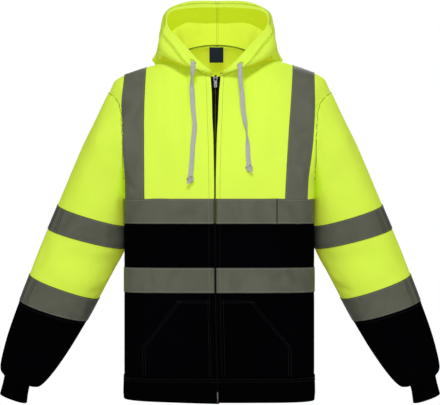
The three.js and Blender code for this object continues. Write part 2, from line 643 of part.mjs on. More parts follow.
// The slider stands on the chain. Its own frame has z up the zip and -y away from the chest.
function sliderGeometry() {
  const { top, bottom, up, down, shoulder, flat, thick, gap } = SLIDER;
  const { bridge, bridgeHalf, hole, stand, root } = SLIDER;
  const outline = new THREE.Shape();
  outline.moveTo(-bottom, -down);
  outline.lineTo(bottom, -down);
  outline.lineTo(top, shoulder);
  outline.quadraticCurveTo(top, up, flat, up);
  outline.lineTo(-flat, up);
  outline.quadraticCurveTo(-top, up, -top, shoulder);
  const body = extruded(outline, thick).rotateX(Math.PI / 2).translate(0, -gap, 0);
  const arch = new THREE.Shape();
  arch.moveTo(-stand - root, -bridge);
  arch.lineTo(0, -bridge);
  arch.absarc(0, 0, bridge, -Math.PI / 2, Math.PI / 2, false);
  arch.lineTo(-stand - root, bridge);
  const pinHole = new THREE.Path();
  pinHole.absarc(0, 0, hole, 0, Math.PI * 2, true);
  arch.holes.push(pinHole);
  const loop = extruded(arch, 2 * bridgeHalf).translate(0, 0, -bridgeHalf);
  loop.applyMatrix4(new THREE.Matrix4().makeBasis(point(0, -1, 0), point(0, 0, 1), point(-1, 0, 0)));
  loop.translate(0, -gap - thick - stand, 0);
  return fromManifold(toManifold(body).add(toManifold(loop)));
}

function pullGeometry() {
  const { half, foot, length, corner, thick, windowHalf, windowTop, windowLow } = PULL;
  const outline = new THREE.Shape();
  outline.moveTo(-half, windowTop);
  outline.lineTo(-foot, -length + corner);
  outline.quadraticCurveTo(-foot, -length, 0, -length);
  outline.quadraticCurveTo(foot, -length, foot, -length + corner);
  outline.lineTo(half, windowTop);
  const window = new THREE.Path();
  window.moveTo(-windowHalf, -windowTop);
  window.lineTo(windowHalf, -windowTop);
  window.lineTo(windowHalf, -windowLow);
  window.lineTo(-windowHalf, -windowLow);
  outline.holes.push(window);
  return extruded(outline, thick).rotateX(Math.PI / 2).translate(0, thick / 2, 0);
}

// ---------------------------------------------------------------- drawcord
// Flat cord, hanging free from a buttonhole in each side of the hood's hem to a knot.
const CORD = { width: 9.5, thick: 3.4, power: 3, sides: 8, steps: 26 };
const CORD_ROUTE = {
  left: [
    [-54, -95, -5], [-54.2, -97.4, -14], [-54.8, -98.6, -26], [-57, -98.8, -44], [-55.6, -100.2, -72],
    [-53.7, -105.8, -103], [-50.7, -112.4, -130], [-51.3, -115, -143], [-54.2, -120.4, -171],
    [-55.6, -124.6, -197], [-57.6, -128, -224], [-59, -130.6, -237],
  ],
  right: [
    [40, -96.4, -9], [40.2, -98.6, -18], [40.6, -99.6, -30], [41.1, -100, -42], [43.4, -100.6, -63],
    [46.3, -104.8, -103], [49.9, -109, -123], [52.6, -114.4, -143], [55.2, -120, -171],
    [56.2, -125, -197], [57.8, -129, -214],
  ],
};
const KNOT = { half: 7.5, high: 7.5, deep: 5.5 };

function cordGeometry(side) {
  const route = new THREE.CatmullRomCurve3(CORD_ROUTE[side].map((p) => point(...p)));
  const section = new THREE.Shape();
  for (let i = 0; i < CORD.sides; i += 1) {
    const turn = (i + 0.5) / CORD.sides * 2 * Math.PI;
    const across = powerOf(Math.cos(turn), CORD.power) * CORD.width / 2;
    const through = powerOf(Math.sin(turn), CORD.power) * CORD.thick / 2;
    if (i === 0) section.moveTo(across, through);
    else section.lineTo(across, through);
  }
  return new THREE.ExtrudeGeometry(section, { steps: CORD.steps, extrudePath: route });
}

function knotGeometry() {
  return new THREE.SphereGeometry(1, 12, 8).rotateX(Math.PI / 2).scale(KNOT.half, KNOT.deep, KNOT.high);
}

// ---------------------------------------------------------------- label
const LABEL = { x: -7.5, half: 14.5, thick: 0.8, top: 35, bottom: 3, yTop: 65.9, yBottom: 68.3, bow: 2 };

function labelGeometry() {
  const rows = [0, 0.5, 1].map((t) => [-1, 0, 1].map((across) => {
    const bow = LABEL.bow * (1 - across * across);
    return point(
      LABEL.x + across * LABEL.half,
      lerp(LABEL.yBottom, LABEL.yTop, t) + bow,
      lerp(LABEL.bottom, LABEL.top, t),
    );
  }));
  return wall(makeGrid(rows), { inner: 0, outer: LABEL.thick });
}

// ---------------------------------------------------------------- finishes
const FINISH = {
  yellow: { color: 0xd8f359, roughness: 0.9, metalness: 0 },
  black: { color: 0x06070c, roughness: 0.9, metalness: 0 },
  rib: { color: 0x05060a, roughness: 0.95, metalness: 0 },
  tape: { color: 0x5d6052, roughness: 0.5, metalness: 0.1 },
  zipTape: { color: 0x101114, roughness: 0.8, metalness: 0 },
  zipMetal: { color: 0x8c8e92, roughness: 0.35, metalness: 1 },
  cord: { color: 0xb4b4ae, roughness: 0.85, metalness: 0 },
  label: { color: 0x1b2238, roughness: 0.8, metalness: 0 },
};

const garment = new THREE.Group();
function add(name, geometry, finish) {
  const mesh = new THREE.Mesh(geometry, new THREE.MeshStandardMaterial(FINISH[finish]));
  mesh.name = name;
  garment.add(mesh);
  return mesh;
}

// ---------------------------------------------------------------- assembly
const CLOTH_WALL = { inner: -CLOTH, outer: 0 };
const TAPE_WALL = { inner: SEAM, outer: SEAM + TAPE };
const HEM_WALL = { inner: 1 - RIB, outer: 1 };  // the rib stands a little proud of the cloth above it
const LOW_GAP = 0.004;                          // gaps at the ends of pieces, as parts of a row
const CUFF_GAP = { above: 0.015, below: 0.005 };
const STRIP_GAP = 0.02;

for (const side of ['left', 'right']) {
  add(`front_upper_${side}`, wall(upperFront[side], CLOTH_WALL), 'yellow');
  add(`front_lower_${side}`, wall(lowerFront[side], CLOTH_WALL), 'black');
}
add('back_upper', wall(upperBack, CLOTH_WALL), 'yellow');
add('back_lower', wall(lowerBack, CLOTH_WALL), 'black');

// The hem band hangs a little higher towards the sides.
const HEM_RISE = { left: { middle: 0, side: 5.5 }, right: { middle: 2, side: 2 } };

function hemRow(side, face, height) {
  const low = (HEM_SEAM_Z - height) / (HEM_SEAM_Z - HEM_Z);
  const middle = face === FACE.front ? HEM_RISE[side].middle : HEM_RISE.right.middle;
  const across = lowerColumns(side, face, height);
  return sideRow(side, face, height, lowerColumns).map((at, c) => {
    at.z += low * lerp(middle, HEM_RISE[side].side, across[c]);
    return at;
  });
}

const hemRows = HEM_HEIGHTS.map((height) => {
  const right = hemRow('right', FACE.front, height);
  const left = hemRow('left', FACE.front, height);
  const back = [...hemRow('right', FACE.back, height).reverse(), ...hemRow('left', FACE.back, height).slice(1)];
  return [...right, ...back.slice(1, -1), ...left.reverse()];
});
add('hem_band', wall(makeGrid(hemRows), HEM_WALL), 'rib');

for (const side of ['left', 'right']) {
  const grid = sleeveGrid[side];
  const [low, cuff] = [stopOf(BAND_LOW.to), stopOf(CUFF_ROWS.from)];
  add(`sleeve_upper_${side}`, wall(grid, { ...CLOTH_WALL, rows: [0, low - LOW_GAP] }), 'yellow');
  add(`sleeve_lower_${side}`, wall(grid, { ...CLOTH_WALL, rows: [low + LOW_GAP, cuff - CUFF_GAP.above] }), 'black');
  add(`cuff_${side}`, wall(grid, { inner: -RIB, outer: 0, rows: [cuff + CUFF_GAP.below, cuff + 1] }), 'rib');
  for (const [name, band] of [['top', BAND_TOP], ['low', BAND_LOW]]) {
    const rows = [stopOf(band.from), stopOf(band.to) - (name === 'low' ? LOW_GAP : 0)];
    add(`tape_sleeve_${name}_${side}`, wall(grid, { ...TAPE_WALL, rows }), 'tape');
  }
}

for (const side of ['left', 'right']) {
  const grid = hoodGrid[side];
  add(`hood_${side}`, wall(grid, { ...CLOTH_WALL, rows: [0, HOOD_ROWS] }), 'yellow');
  const hemRows = [HOOD_ROWS + 1, HOOD_ROWS + 1 + HOOD_HEM_ROWS];
  add(`hood_hem_${side}`, wall(grid, { ...HOOD_HEM_WALL, rows: hemRows }), 'yellow');
}

for (const side of ['left', 'right']) {
  add(`pocket_${side}`, wall(lowerFront[side], {
    inner: SEAM, outer: SEAM + CLOTH, rows: POCKET_ROWS, columns: [1, 1 + POCKET_COLUMNS],
  }), 'black');
  add(`tape_chest_front_${side}`, wall(upperFront[side], { ...TAPE_WALL, rows: CHEST_ROWS }), 'tape');
  add(`tape_waist_front_${side}`, wall(lowerFront[side], { ...TAPE_WALL, rows: WAIST_ROWS }), 'tape');
}
add('tape_chest_back', wall(upperBack, { ...TAPE_WALL, rows: CHEST_ROWS }), 'tape');
add('tape_waist_back', wall(lowerBack, { ...TAPE_WALL, rows: WAIST_ROWS }), 'tape');

// The tape over a shoulder is one strip: up the front, over the seam and down the back.
function shoulderTape(side) {
  const strip = (face) => sideRows(side, face, UPPER_HEIGHTS, upperColumns).slice(CHEST_ROWS[1])
    .map((row) => row.slice(TAPE_AT, TAPE_AT + TAPE_COLUMNS + 1));
  const rows = [...strip(FACE.front), ...strip(FACE.back).reverse()];
  return makeGrid(rows, { flip: side === 'left' });
}
for (const side of ['left', 'right']) {
  const grid = shoulderTape(side);
  const last = grid.rows.length - 1;
  add(`tape_shoulder_${side}`, wall(grid, { ...TAPE_WALL, rows: [STRIP_GAP, last - STRIP_GAP] }), 'tape');
}

for (const [side, sign] of [['left', -1], ['right', 1]]) {
  const grid = zipGrid(side, sign * ZIP.tapeFrom, sign * ZIP.tapeTo);
  add(`zip_tape_${side}`, wall(grid, { inner: -ZIP.tapeDepth - ZIP.tape, outer: -ZIP.tapeDepth }), 'zipTape');
}
const chain = zipGrid('right', -ZIP.chainHalf, ZIP.chainHalf);
add('zip_chain', wall(chain, { inner: -ZIP.tapeDepth - ZIP.chain, outer: -ZIP.tapeDepth }), 'zipTape');

const place = sliderPlace();
const slider = add('zip_slider', sliderGeometry(), 'zipMetal');
slider.position.copy(place.at);
slider.rotation.x = place.lean;
const pull = add('zip_pull', pullGeometry(), 'zipMetal');
pull.position.copy(place.at).addScaledVector(place.out, SLIDER.gap + SLIDER.thick + SLIDER.stand);
pull.rotation.x = place.lean;

const hemFront = bodyPoint('right', FACE.front, 0, HEM_Z);
const box = new THREE.BoxGeometry(2 * ZIP_BOX.half, ZIP_BOX.deep, ZIP_BOX.high);
add('zip_box', box, 'zipMetal')
  .position.set(hemFront.x, hemFront.y + ZIP.tapeDepth + ZIP_BOX.deep / 2, HEM_Z + ZIP_BOX.high / 2);

add('neck_label', labelGeometry(), 'label');

for (const side of ['left', 'right']) {
  add(`drawcord_${side}`, cordGeometry(side), 'cord');
  const end = CORD_ROUTE[side].at(-1);
  add(`drawcord_knot_${side}`, knotGeometry(), 'cord')
    .position.set(end[0], end[1], end[2] - KNOT.high - SEAM);
}

export default garment;
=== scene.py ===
"""Looks of the high-visibility hoodie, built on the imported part.

Cloth follows the same surfaces as the CAD walls, at a fine pitch, with soft folds moved out of them or
into them. Surfaces are worked in millimetres and become metres when a mesh is made.
"""

import math

import bpy
import numpy as np
from mathutils import Matrix, Vector


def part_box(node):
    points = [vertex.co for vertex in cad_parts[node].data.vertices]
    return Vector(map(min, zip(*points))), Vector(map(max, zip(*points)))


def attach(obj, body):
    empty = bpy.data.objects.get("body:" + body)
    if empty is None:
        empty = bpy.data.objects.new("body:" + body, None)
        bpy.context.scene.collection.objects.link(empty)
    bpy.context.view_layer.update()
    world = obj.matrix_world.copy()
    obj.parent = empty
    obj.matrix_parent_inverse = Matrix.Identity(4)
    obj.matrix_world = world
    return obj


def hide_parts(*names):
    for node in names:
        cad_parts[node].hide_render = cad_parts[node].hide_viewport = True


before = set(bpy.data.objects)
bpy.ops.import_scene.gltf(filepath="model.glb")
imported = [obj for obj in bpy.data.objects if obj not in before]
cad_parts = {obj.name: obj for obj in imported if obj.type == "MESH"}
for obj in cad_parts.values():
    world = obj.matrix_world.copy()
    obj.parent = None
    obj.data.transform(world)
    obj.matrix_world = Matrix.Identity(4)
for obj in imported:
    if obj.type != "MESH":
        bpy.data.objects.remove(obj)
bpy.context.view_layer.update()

MM = 0.001

# ---- driving dimensions, in mm
CLOTH = 2.0
RIB = 3.0
TAPE = 0.9
LAID = 0.3                       # how far a piece laid on a panel stands off it
ARMPIT_Z = -240.0
CHEST_TAPE = (-330.5, -280.5)    # bottom and top
WAIST_TAPE = (-468.5, -418.5)
POCKET_TOP, POCKET_CORNER = -482.0, -577.0
HEM_SEAM_Z, HEM_Z = -636.0, -690.0
SIDE_X = {"left": -194.4, "right": 191.6}
SIGN = {"left": -1.0, "right": 1.0}
SIDE_Y = -15.0
FRONT = dict(sign=-1, depth=110, power=4.0, neck_y=-88, neck_z=-33, bend=1.5, roll=1.3)
BACK = dict(sign=1, depth=140, power=2.3, neck_y=70, neck_z=37, bend=1.2, roll=1.7)
TIP_X, TIP_Z = 228.5, -63.0
ARMHOLE_DEPTH, ARMHOLE_FLARE, ARMHOLE_BEND = 78.0, 5.0, 10
NECK_X, NECK_HALF, NECK_Z = -9.0, 66.0, 18.0
SHOULDER_ROLL = 2.2
STEP = 4.0                       # pitch of the fine surfaces
LAST_EDGE = 0.992                # the tape's outer edge stays this far in from the armhole, of the way across

# Each table: places along its first axis, then the values there.
CENTRE_LINE = ((-690, -480, -240, 0), (-4.5, -9, -10, NECK_X))
ZIP_GAP = ((-690, -250, -180, -150, -120, -66, -33), (3, 3.4, 6, 8, 11.6, 15.4, 20))
SHOULDER_SEAM = {
    "left": ((0.28, 0.42, 0.55, 0.66, 0.846, 0.94, 1), (18, 7, -5, -13, -26.5, -39, TIP_Z)),
    "right": ((0.28, 0.42, 0.55, 0.66, 0.846, 0.94, 1), (18, 10, 1, -7, -22, -35.5, TIP_Z)),
}
# Inner and outer edges of the tape over each shoulder.
SHOULDER_TAPE = {
    "left": (((-280, -120, 0), (-151, -152.5, -150)),
             ((-280, -233, -183, -108, -84, -34, 0), (-190.5, -191, -194.4, -198, -198.4, -195, -193))),
    "right": (((-280, -207, -131, -66, 0), (129.5, 134, 139, 144, 148.5)),
              ((-280, -233, -208, -183, -108, -34, 0), (174.5, 177, 181, 185.5, 190.4, 192, 193))),
}


# ---- curves through tables
def catmull_rom(a, b, c, d, t):
    low, high = (c - a) / 2, (d - b) / 2
    return b + low * t + (3 * (c - b) - 2 * low - high) * t**2 + (2 * (b - c) + low + high) * t**3


def along_table(table, at):
    """Values on a smooth curve through a table's rows. A value may itself be an array."""
    places, values = np.asarray(table[0], float), np.asarray(table[1], float)
    at = np.asarray(at, float)
    index = np.clip(np.searchsorted(places, at) - 1, 0, len(places) - 2)
    t = np.clip((at - places[index]) / (places[index + 1] - places[index]), 0, 1)
    t = t.reshape(t.shape + (1,) * (values.ndim - 1))
    near = [values[np.clip(index + k, 0, len(places) - 1)] for k in (-1, 0, 1, 2)]
    return catmull_rom(*near, t)


def smooth(x, low, high):
    t = np.clip((np.asarray(x, float) - low) / (high - low), 0, 1)
    return t * t * (3 - 2 * t)


def mix(a, b, t):
    return a + (b - a) * t


def signed_power(value, power):
    return np.sign(value) * np.abs(value) ** (2 / power)


def unit(v):
    return v / np.maximum(np.linalg.norm(v, axis=-1, keepdims=True), 1e-9)


def lengths_along(points, axis=0):
    """How far each point is from the first one, along one axis of a line or grid of points."""
    steps = np.linalg.norm(np.diff(points, axis=axis), axis=-1)
    before = [(1, 0) if k == axis else (0, 0) for k in range(steps.ndim)]
    return np.pad(np.cumsum(steps, axis=axis), before)


# ---- the body's surface
def centre_x(z):
    return along_table(CENTRE_LINE, z)


def neck_across(side):
    return NECK_HALF / abs(SIGN[side] * TIP_X - NECK_X)


def armhole_point(side, face, turn):
    """A point of the armhole's edge, from the armpit (0) up to the shoulder's tip (a quarter turn)."""
    rise = np.sin(turn) ** 2
    sign = SIGN[side]
    start = SIDE_X[side]
    x = start + sign * ARMHOLE_FLARE * rise + (sign * (TIP_X - ARMHOLE_FLARE) - start) * rise**ARMHOLE_BEND
    y = SIDE_Y * (1 - rise) + face["sign"] * ARMHOLE_DEPTH * 2 * np.sin(turn) * np.cos(turn)
    return np.stack([x, y, mix(ARMPIT_Z, TIP_Z, rise)], -1)


def body_point(side, face, across, height):
    """`across` is 0 at the zip or centre back and 1 at the side. Above the armpit `height` runs to 0 at
    the top."""
    across, height = np.broadcast_arrays(np.clip(across, 0, 1), np.asarray(height, float))
    reach = (1 - across ** face["power"]) ** (1 / face["power"])
    centre = centre_x(height)
    chest_y = SIDE_Y + face["sign"] * face["depth"]
    low = np.stack([centre + across * (SIDE_X[side] - centre),
                    SIDE_Y + face["sign"] * face["depth"] * reach, height], -1)
    turn = np.clip(1 - height / ARMPIT_Z, 0, 1) * math.pi / 2
    hole = armhole_point(side, face, turn)
    neck = neck_across(side)
    ring = np.sqrt(np.clip(1 - (across / neck) ** 2, 0, 1))
    top_z = np.where(across > neck, along_table(SHOULDER_SEAM[side], across),
                     NECK_Z + (face["neck_z"] - NECK_Z) * ring ** face["bend"])
    roll = mix(face["roll"], SHOULDER_ROLL, smooth(across, 0.1, 0.55))
    up = np.sin(turn) ** mix(2 / roll, 2, smooth(across, 0.6, 1))
    middle_y = mix(face["neck_y"] * ring, chest_y, np.cos(turn) ** (2 / roll))
    high = np.stack([centre + across * (hole[..., 0] - centre),
                     hole[..., 1] * (1 - reach) + middle_y * reach, mix(ARMPIT_Z, top_z, up)], -1)
    return np.where((height <= ARMPIT_Z)[..., None], low, high)


def tape_edges(side, heights, face):
    """Where the shoulder tape's two edges cross each height, as parts of the way across."""
    edges = []
    centre = centre_x(heights)
    for table, first in zip(SHOULDER_TAPE[side], (0.7, 0.9)):
        edge = np.full(len(heights), first)
        for _ in range(8):       # each round lands closer to the table's line
            at = body_point(side, face, edge, heights)
            edge = edge * (along_table(table, at[:, 2]) - centre) / (at[:, 0] - centre)
            edge = np.minimum(edge, LAST_EDGE)
        edges.append(edge)
    return edges


def side_stops(edge, power, count):
    """Parts of the way across from an edge to the side, close together where the cloth turns round."""
    turn = np.arccos(edge ** (power / 2))[:, None]
    return np.cos(turn * (1 - np.arange(count + 1) / count)) ** (2 / power)


def between(a, b, count):
    return mix(np.broadcast_to(a, b.shape)[:, None], b[:, None], np.arange(count) / count)


NECK_COLUMNS, COLLAR_COLUMNS, TAPE_COLUMNS, ARM_COLUMNS = 20, 20, 12, 16
TAPE_AT = NECK_COLUMNS + COLLAR_COLUMNS
POCKET_COLUMNS, SIDE_COLUMNS = 32, 30
POCKET_INNER, POCKET_TOP_OUTER, POCKET_LOW_OUTER = 13.0, 74.0, 150.0


def front_edge(face, z, span):
    """Where the cloth starts beside the zip, as a part of the way across. The back starts in the middle."""
    return along_table(ZIP_GAP, z) / 2 / span if face is FRONT else np.zeros(len(z))


def upper_columns(side, face, heights):
    """Each height's stops across the yellow: by the neck, to the shoulder tape, under it, and to the side."""
    turn = np.clip(1 - heights / ARMPIT_Z, 0, 1) * math.pi / 2
    span = np.abs(np.where(heights <= ARMPIT_Z, SIDE_X[side], armhole_point(side, face, turn)[:, 0])
                  - centre_x(heights))
    middle_z = body_point(side, face, 0.02, heights)[:, 2]
    neck = neck_across(side)
    start = np.arcsin(np.clip(front_edge(face, middle_z, span) / neck, 0, 1))
    inner, outer = tape_edges(side, heights, face)
    first = neck * np.sin(between(start, np.full(len(heights), math.pi / 2), NECK_COLUMNS))
    return np.concatenate([
        first, between(np.full(len(heights), neck), inner, COLLAR_COLUMNS),
        between(inner, outer, TAPE_COLUMNS), side_stops(outer, face["power"], ARM_COLUMNS)], axis=1)


def lower_columns(side, face, heights):
    """Each height's stops across the black: beside the zip, over the pocket, and to the side."""
    span = np.abs(SIDE_X[side] - centre_x(heights))
    edge = front_edge(face, heights, span)
    slant = np.clip((heights - POCKET_TOP) / (POCKET_CORNER - POCKET_TOP), 0, 1)
    outer = mix(POCKET_TOP_OUTER, POCKET_LOW_OUTER, slant) / span
    inner = POCKET_INNER / span
    return np.concatenate([
        between(edge, inner, 3), between(inner, outer, POCKET_COLUMNS),
        side_stops(outer, face["power"], SIDE_COLUMNS)], axis=1)


def stops_between(*levels):
    """Levels at about STEP apart that pass through each of the given ones, and each one's index."""
    found, index = [levels[0]], [0]
    for low, high in zip(levels, levels[1:]):
        count = max(1, round(abs(high - low) / STEP))
        found += list(np.linspace(low, high, count + 1)[1:])
        index.append(len(found) - 1)
    return np.array(found), index


# ---- folds
# A fold is a soft ridge (out above 0) or trough (below 0) along a line of points seen from the front
# or the back. Each: how far out, half width, then x and z of its points, all in mm.
FRONT_FOLDS = (
    (2.2, 9, 40, -484, 75, -527, 135, -592), (-1.6, 7, 58, -484, 95, -530, 150, -588),
    (2.2, 11, -120, -474, -155, -547, -165, -630), (-1.6, 9, -98, -480, -132, -540, -146, -626),
    (1.6, 10, 90, -482, 125, -532), (2.0, 11, 104, -345, 125, -412, 128, -470),
    (-2.2, 13, 186, -343, 130, -366), (1.7, 12, -99, -350, -116, -410),
    (-1.5, 11, -130, -360, -146, -410), (3.0, 8, -128, -420, -156, -470),
    (-2.4, 7, -104, -424, -128, -470), (-3.6, 7, 104, -414, 122, -474), (2.4, 7, 124, -416, 140, -468),
    (-2.6, 5, 142, -414, 154, -456), (2.6, 6, 150, -283, 176, -314), (-2.4, 6, 138, -290, 162, -330),
    (-2.2, 4, 132, -209, 178, -215), (1.0, 4, 132, -202, 178, -206), (-2.0, 5, -189, -246, -166, -266),
    (0.9, 4, -190, -256, -172, -276), (-3.2, 20, 112, -92, 118, -150, 104, -235),
    (-2.6, 19, -132, -130, -126, -240), (2.2, 24, -78, -110, -88, -200, -76, -265),
    (2.2, 22, 74, -120, 66, -215, 72, -272), (-1.2, 14, -30, -150, -36, -250),
    (-1.2, 13, 28, -160, 32, -255), (-1.7, 9, 11, -530, 26, -570, 20, -626),
    (1.3, 10, 38, -540, 50, -600), (1.1, 12, -40, -520, -52, -590), (-1.1, 11, -70, -530, -84, -612),
    (-1.0, 12, -60, -345, -48, -405), (-1.1, 12, 48, -345, 62, -405), (-1.0, 4, -192, -52, -174, -66),
    (0.8, 5, -188, -74, -170, -84), (-0.9, 6, 186, -60, 170, -80), (-1.0, 8, -176, -600, -120, -622),
    (-1.0, 8, 178, -598, 128, -624),
)
BACK_FOLDS = (
    (1.9, 17, -120, -60, -104, -130, -112, -210), (-1.9, 18, -92, -70, -70, -150, -80, -240),
    (1.9, 17, 112, -60, 92, -140, 104, -220), (-1.9, 18, 80, -70, 60, -150, 72, -240),
    (-1.6, 9, -150, -215, -118, -250), (-1.6, 9, 148, -215, 112, -252), (1.7, 13, -110, -345, -70, -400),
    (1.7, 13, 100, -345, 64, -405), (-1.7, 11, -150, -350, -124, -412), (-1.7, 11, 142, -350, 118, -412),
    (-1.3, 14, -30, -340, -20, -410), (2.0, 13, -146, -480, -116, -560, -124, -630),
    (-1.8, 12, -96, -484, -80, -570, -92, -630), (2.0, 13, 140, -480, 112, -560, 118, -630),
    (-1.8, 12, 88, -484, 72, -570, 84, -630), (1.4, 16, -10, -490, 6, -560, -4, -630),
    (-1.3, 7, -120, -424, -98, -462), (-1.3, 7, 112, -424, 92, -464), (-1.1, 8, -70, -286, -58, -326),
    (-1.1, 8, 66, -286, 58, -326),
)
# On a sleeve a point is the part of the way round from the outer edge over the front, and the table's ring.
SLEEVE_FOLDS = (
    (2.6, 19, 0.13, 0.3, 0.16, 1.5, 0.13, 2.8), (-3.0, 19, 0.27, 0.2, 0.29, 1.4, 0.24, 2.7),
    (2.4, 15, 0.38, 0.6, 0.37, 1.8, 0.37, 2.8), (-2.0, 14, 0.03, 0.5, 0.05, 1.4, 0.04, 2.4),
    (-3.4, 9, 0.50, 1.0, 0.42, 1.9, 0.36, 2.3), (2.8, 8, 0.50, 1.5, 0.44, 2.3, 0.39, 2.7),
    (-5.0, 21, 0.46, 4.35, 0.33, 4.65, 0.20, 4.55), (-2.2, 15, 0.06, 4.3, 0.09, 5.0, 0.07, 5.8),
    (3.2, 20, 0.42, 5.4, 0.28, 5.55, 0.16, 5.3), (2.4, 8, 0.47, 4.9, 0.40, 5.4),
    (-2.0, 7, 0.46, 5.5, 0.36, 5.8), (2.4, 12, 0.08, 7.3, 0.12, 8.4, 0.15, 9.4),
    (-2.6, 12, 0.22, 7.2, 0.26, 8.3, 0.24, 9.5), (2.2, 11, 0.36, 7.4, 0.38, 8.4, 0.36, 9.5),
    (-1.2, 8, 0.14, 3.1, 0.15, 3.9), (-1.3, 8, 0.34, 6.1, 0.36, 6.9),
    (2.6, 16, 0.62, 0.6, 0.60, 1.8, 0.62, 2.8), (-3.0, 18, 0.74, 0.4, 0.72, 1.6, 0.75, 2.8),
    (2.4, 16, 0.88, 0.6, 0.86, 1.8, 0.87, 2.8), (-1.8, 9, 0.52, 3.2, 0.62, 3.8),
    (-4.2, 18, 0.54, 4.3, 0.66, 4.6, 0.78, 4.5), (3.0, 17, 0.56, 5.2, 0.68, 5.5, 0.80, 5.4),
    (-2.4, 11, 0.66, 7.3, 0.64, 8.4, 0.66, 9.5), (2.2, 11, 0.84, 7.3, 0.82, 8.5, 0.84, 9.5),
)
# On the hood it is the part of the way from the centre back to the zip, and that of the way up the cloth.
HOOD_FOLDS = (
    (-3.0, 13, 0.16, 0.06, 0.20, 0.20), (2.4, 13, 0.34, 0.04, 0.30, 0.19),
    (-2.4, 18, 0.10, 0.34, 0.14, 0.50, 0.10, 0.62), (2.4, 17, 0.26, 0.34, 0.28, 0.52, 0.24, 0.66),
    (-2.6, 13, 0.42, 0.36, 0.40, 0.52, 0.42, 0.66), (2.2, 11, 0.54, 0.40, 0.52, 0.56, 0.56, 0.68),
    (-1.8, 9, 0.66, 0.44, 0.62, 0.60), (1.5, 11, 0.08, 0.70, 0.34, 0.74),
    (-1.3, 9, 0.18, 0.80, 0.30, 0.90),
)


def fold_field(flat, folds, taper=1.0, scale=(1.0, 1.0)):
    """How far out the folds move each point of an array of 2D places."""
    place = flat * np.array(scale)
    total = np.zeros(flat.shape[:-1])
    for out, width, *line in folds:
        line = np.array(line, float).reshape(-1, 2) * np.array(scale)
        t = np.linspace(0, len(line) - 1, 14)
        line = along_table((np.arange(len(line)), line), t)
        nearest = np.full(flat.shape[:-1], np.inf)
        where = np.zeros(flat.shape[:-1])
        for k, (a, b) in enumerate(zip(line, line[1:])):
            step = b - a
            s = np.clip(((place - a) @ step) / (step @ step), 0, 1)
            gap = np.linalg.norm(place - (a + s[..., None] * step), axis=-1)
            closer = gap < nearest
            nearest = np.where(closer, gap, nearest)
            where = np.where(closer, (k + s) / (len(line) - 1), where)
        ends = smooth(where, -0.02, 0.3) * (1 - smooth(where, 0.7, 1.02))
        total += out * taper * np.exp(-(nearest / width) ** 2) * (0.15 + 0.85 * ends)
    return total


def seam_pucker(distance, run, out=0.5, reach=7.0, pitch=17.0):
    """Cloth drawn in along a line of stitches, in small uneven waves."""
    wave = np.sin(run * 2 * math.pi / pitch) + 0.6 * np.sin(run * 2 * math.pi / (pitch * 0.61) + 1.3)
    return np.exp(-(distance / reach) ** 2) * (out * 0.5 * wave - out * 0.5)


# ---- surfaces and shells
def normals_of(points, closed, flip):
    if closed:
        right, left = np.roll(points, -1, axis=1), np.roll(points, 1, axis=1)
    else:
        right = np.concatenate([points[:, 1:], points[:, -1:]], axis=1)
        left = np.concatenate([points[:, :1], points[:, :-1]], axis=1)
    up = np.concatenate([points[1:], points[-1:]], axis=0)
    down = np.concatenate([points[:1], points[:-1]], axis=0)
    normal = unit(np.cross(right - left, up - down))
    return -normal if flip else normal


class Surface:
    """A grid of points with outward normals. Along a closed one the last column meets the first."""

    def __init__(self, points, closed=False, flip=False, fold=None, settle=None):
        self.closed, self.flip = closed, flip
        self.plain = points
        if fold is not None:
            out = unit(normals_of(points, closed, flip))
            points = points + out * fold[..., None]
        self.normals = normals_of(points, closed, flip)
        if settle is not None:
            self.normals = unit(settle(self.normals, points))
        self.points = points
        if closed:
            self.points, self.normals, self.plain = (
                np.concatenate([grid, grid[:, :1]], axis=1) for grid in (points, self.normals, self.plain))
        self.u, self.v = lengths_along(self.plain, 1), lengths_along(self.plain, 0)

    def size(self):
        return self.points.shape[0] - 1, self.points.shape[1] - 1

    def at(self, rows, columns, out=0.0):
        """Points at rows and columns that may lie between the grid's, moved out along the normals."""
        rows, columns = np.broadcast_arrays(np.asarray(rows, float), np.asarray(columns, float))
        points = bilinear(self.points, rows, columns)
        return points + unit(bilinear(self.normals, rows, columns)) * np.asarray(out)[..., None]

    def area(self, rows, columns):
        """Area of a patch of the surface without its folds, its widest row and its longest column."""
        r0, r1 = (int(round(x)) for x in rows)
        c0, c1 = (int(round(x)) for x in columns)
        p = self.plain[r0:r1 + 1, c0:c1 + 1]
        half = np.cross(p[1:, 1:] - p[:-1, :-1], p[1:, :-1] - p[:-1, 1:])
        wide = (self.u[r0:r1 + 1, c1] - self.u[r0:r1 + 1, c0]).max()
        long = (self.v[r1, c0:c1 + 1] - self.v[r0, c0:c1 + 1]).max()
        return np.linalg.norm(half, axis=-1).sum() / 2, wide, long


def bilinear(field, rows, columns):
    r = np.clip(np.floor(rows).astype(int), 0, field.shape[0] - 2)
    c = np.clip(np.floor(columns).astype(int), 0, field.shape[1] - 2)
    t, s = rows - r, columns - c
    if field.ndim == 3:
        t, s = t[..., None], s[..., None]
    return mix(mix(field[r, c], field[r, c + 1], s), mix(field[r + 1, c], field[r + 1, c + 1], s), t)


# How a shell's edge is finished: a fold is round, a seam is drawn in, a soft edge and a cut a little, and
# a join not at all. Each kind's extra stops, how far in it reaches and how deep it goes, in mm.
EDGE_STOPS = {
    "fold": (0.0, 0.25, 0.7, 1.3), "seam": (0.0, 0.8, 2.0), "soft": (0.0, 1.0), "cut": (0.0, 0.6),
    "join": (0.0,),
}
EDGE_REACH = {"fold": 1.3, "seam": 2.6, "soft": 1.2, "cut": 0.6}
EDGE_DEPTH = {"seam": 1.0, "soft": 0.35, "cut": 0.18}
FOLD_ROUND = 0.92                # how much of the wall's half a fold rounds off


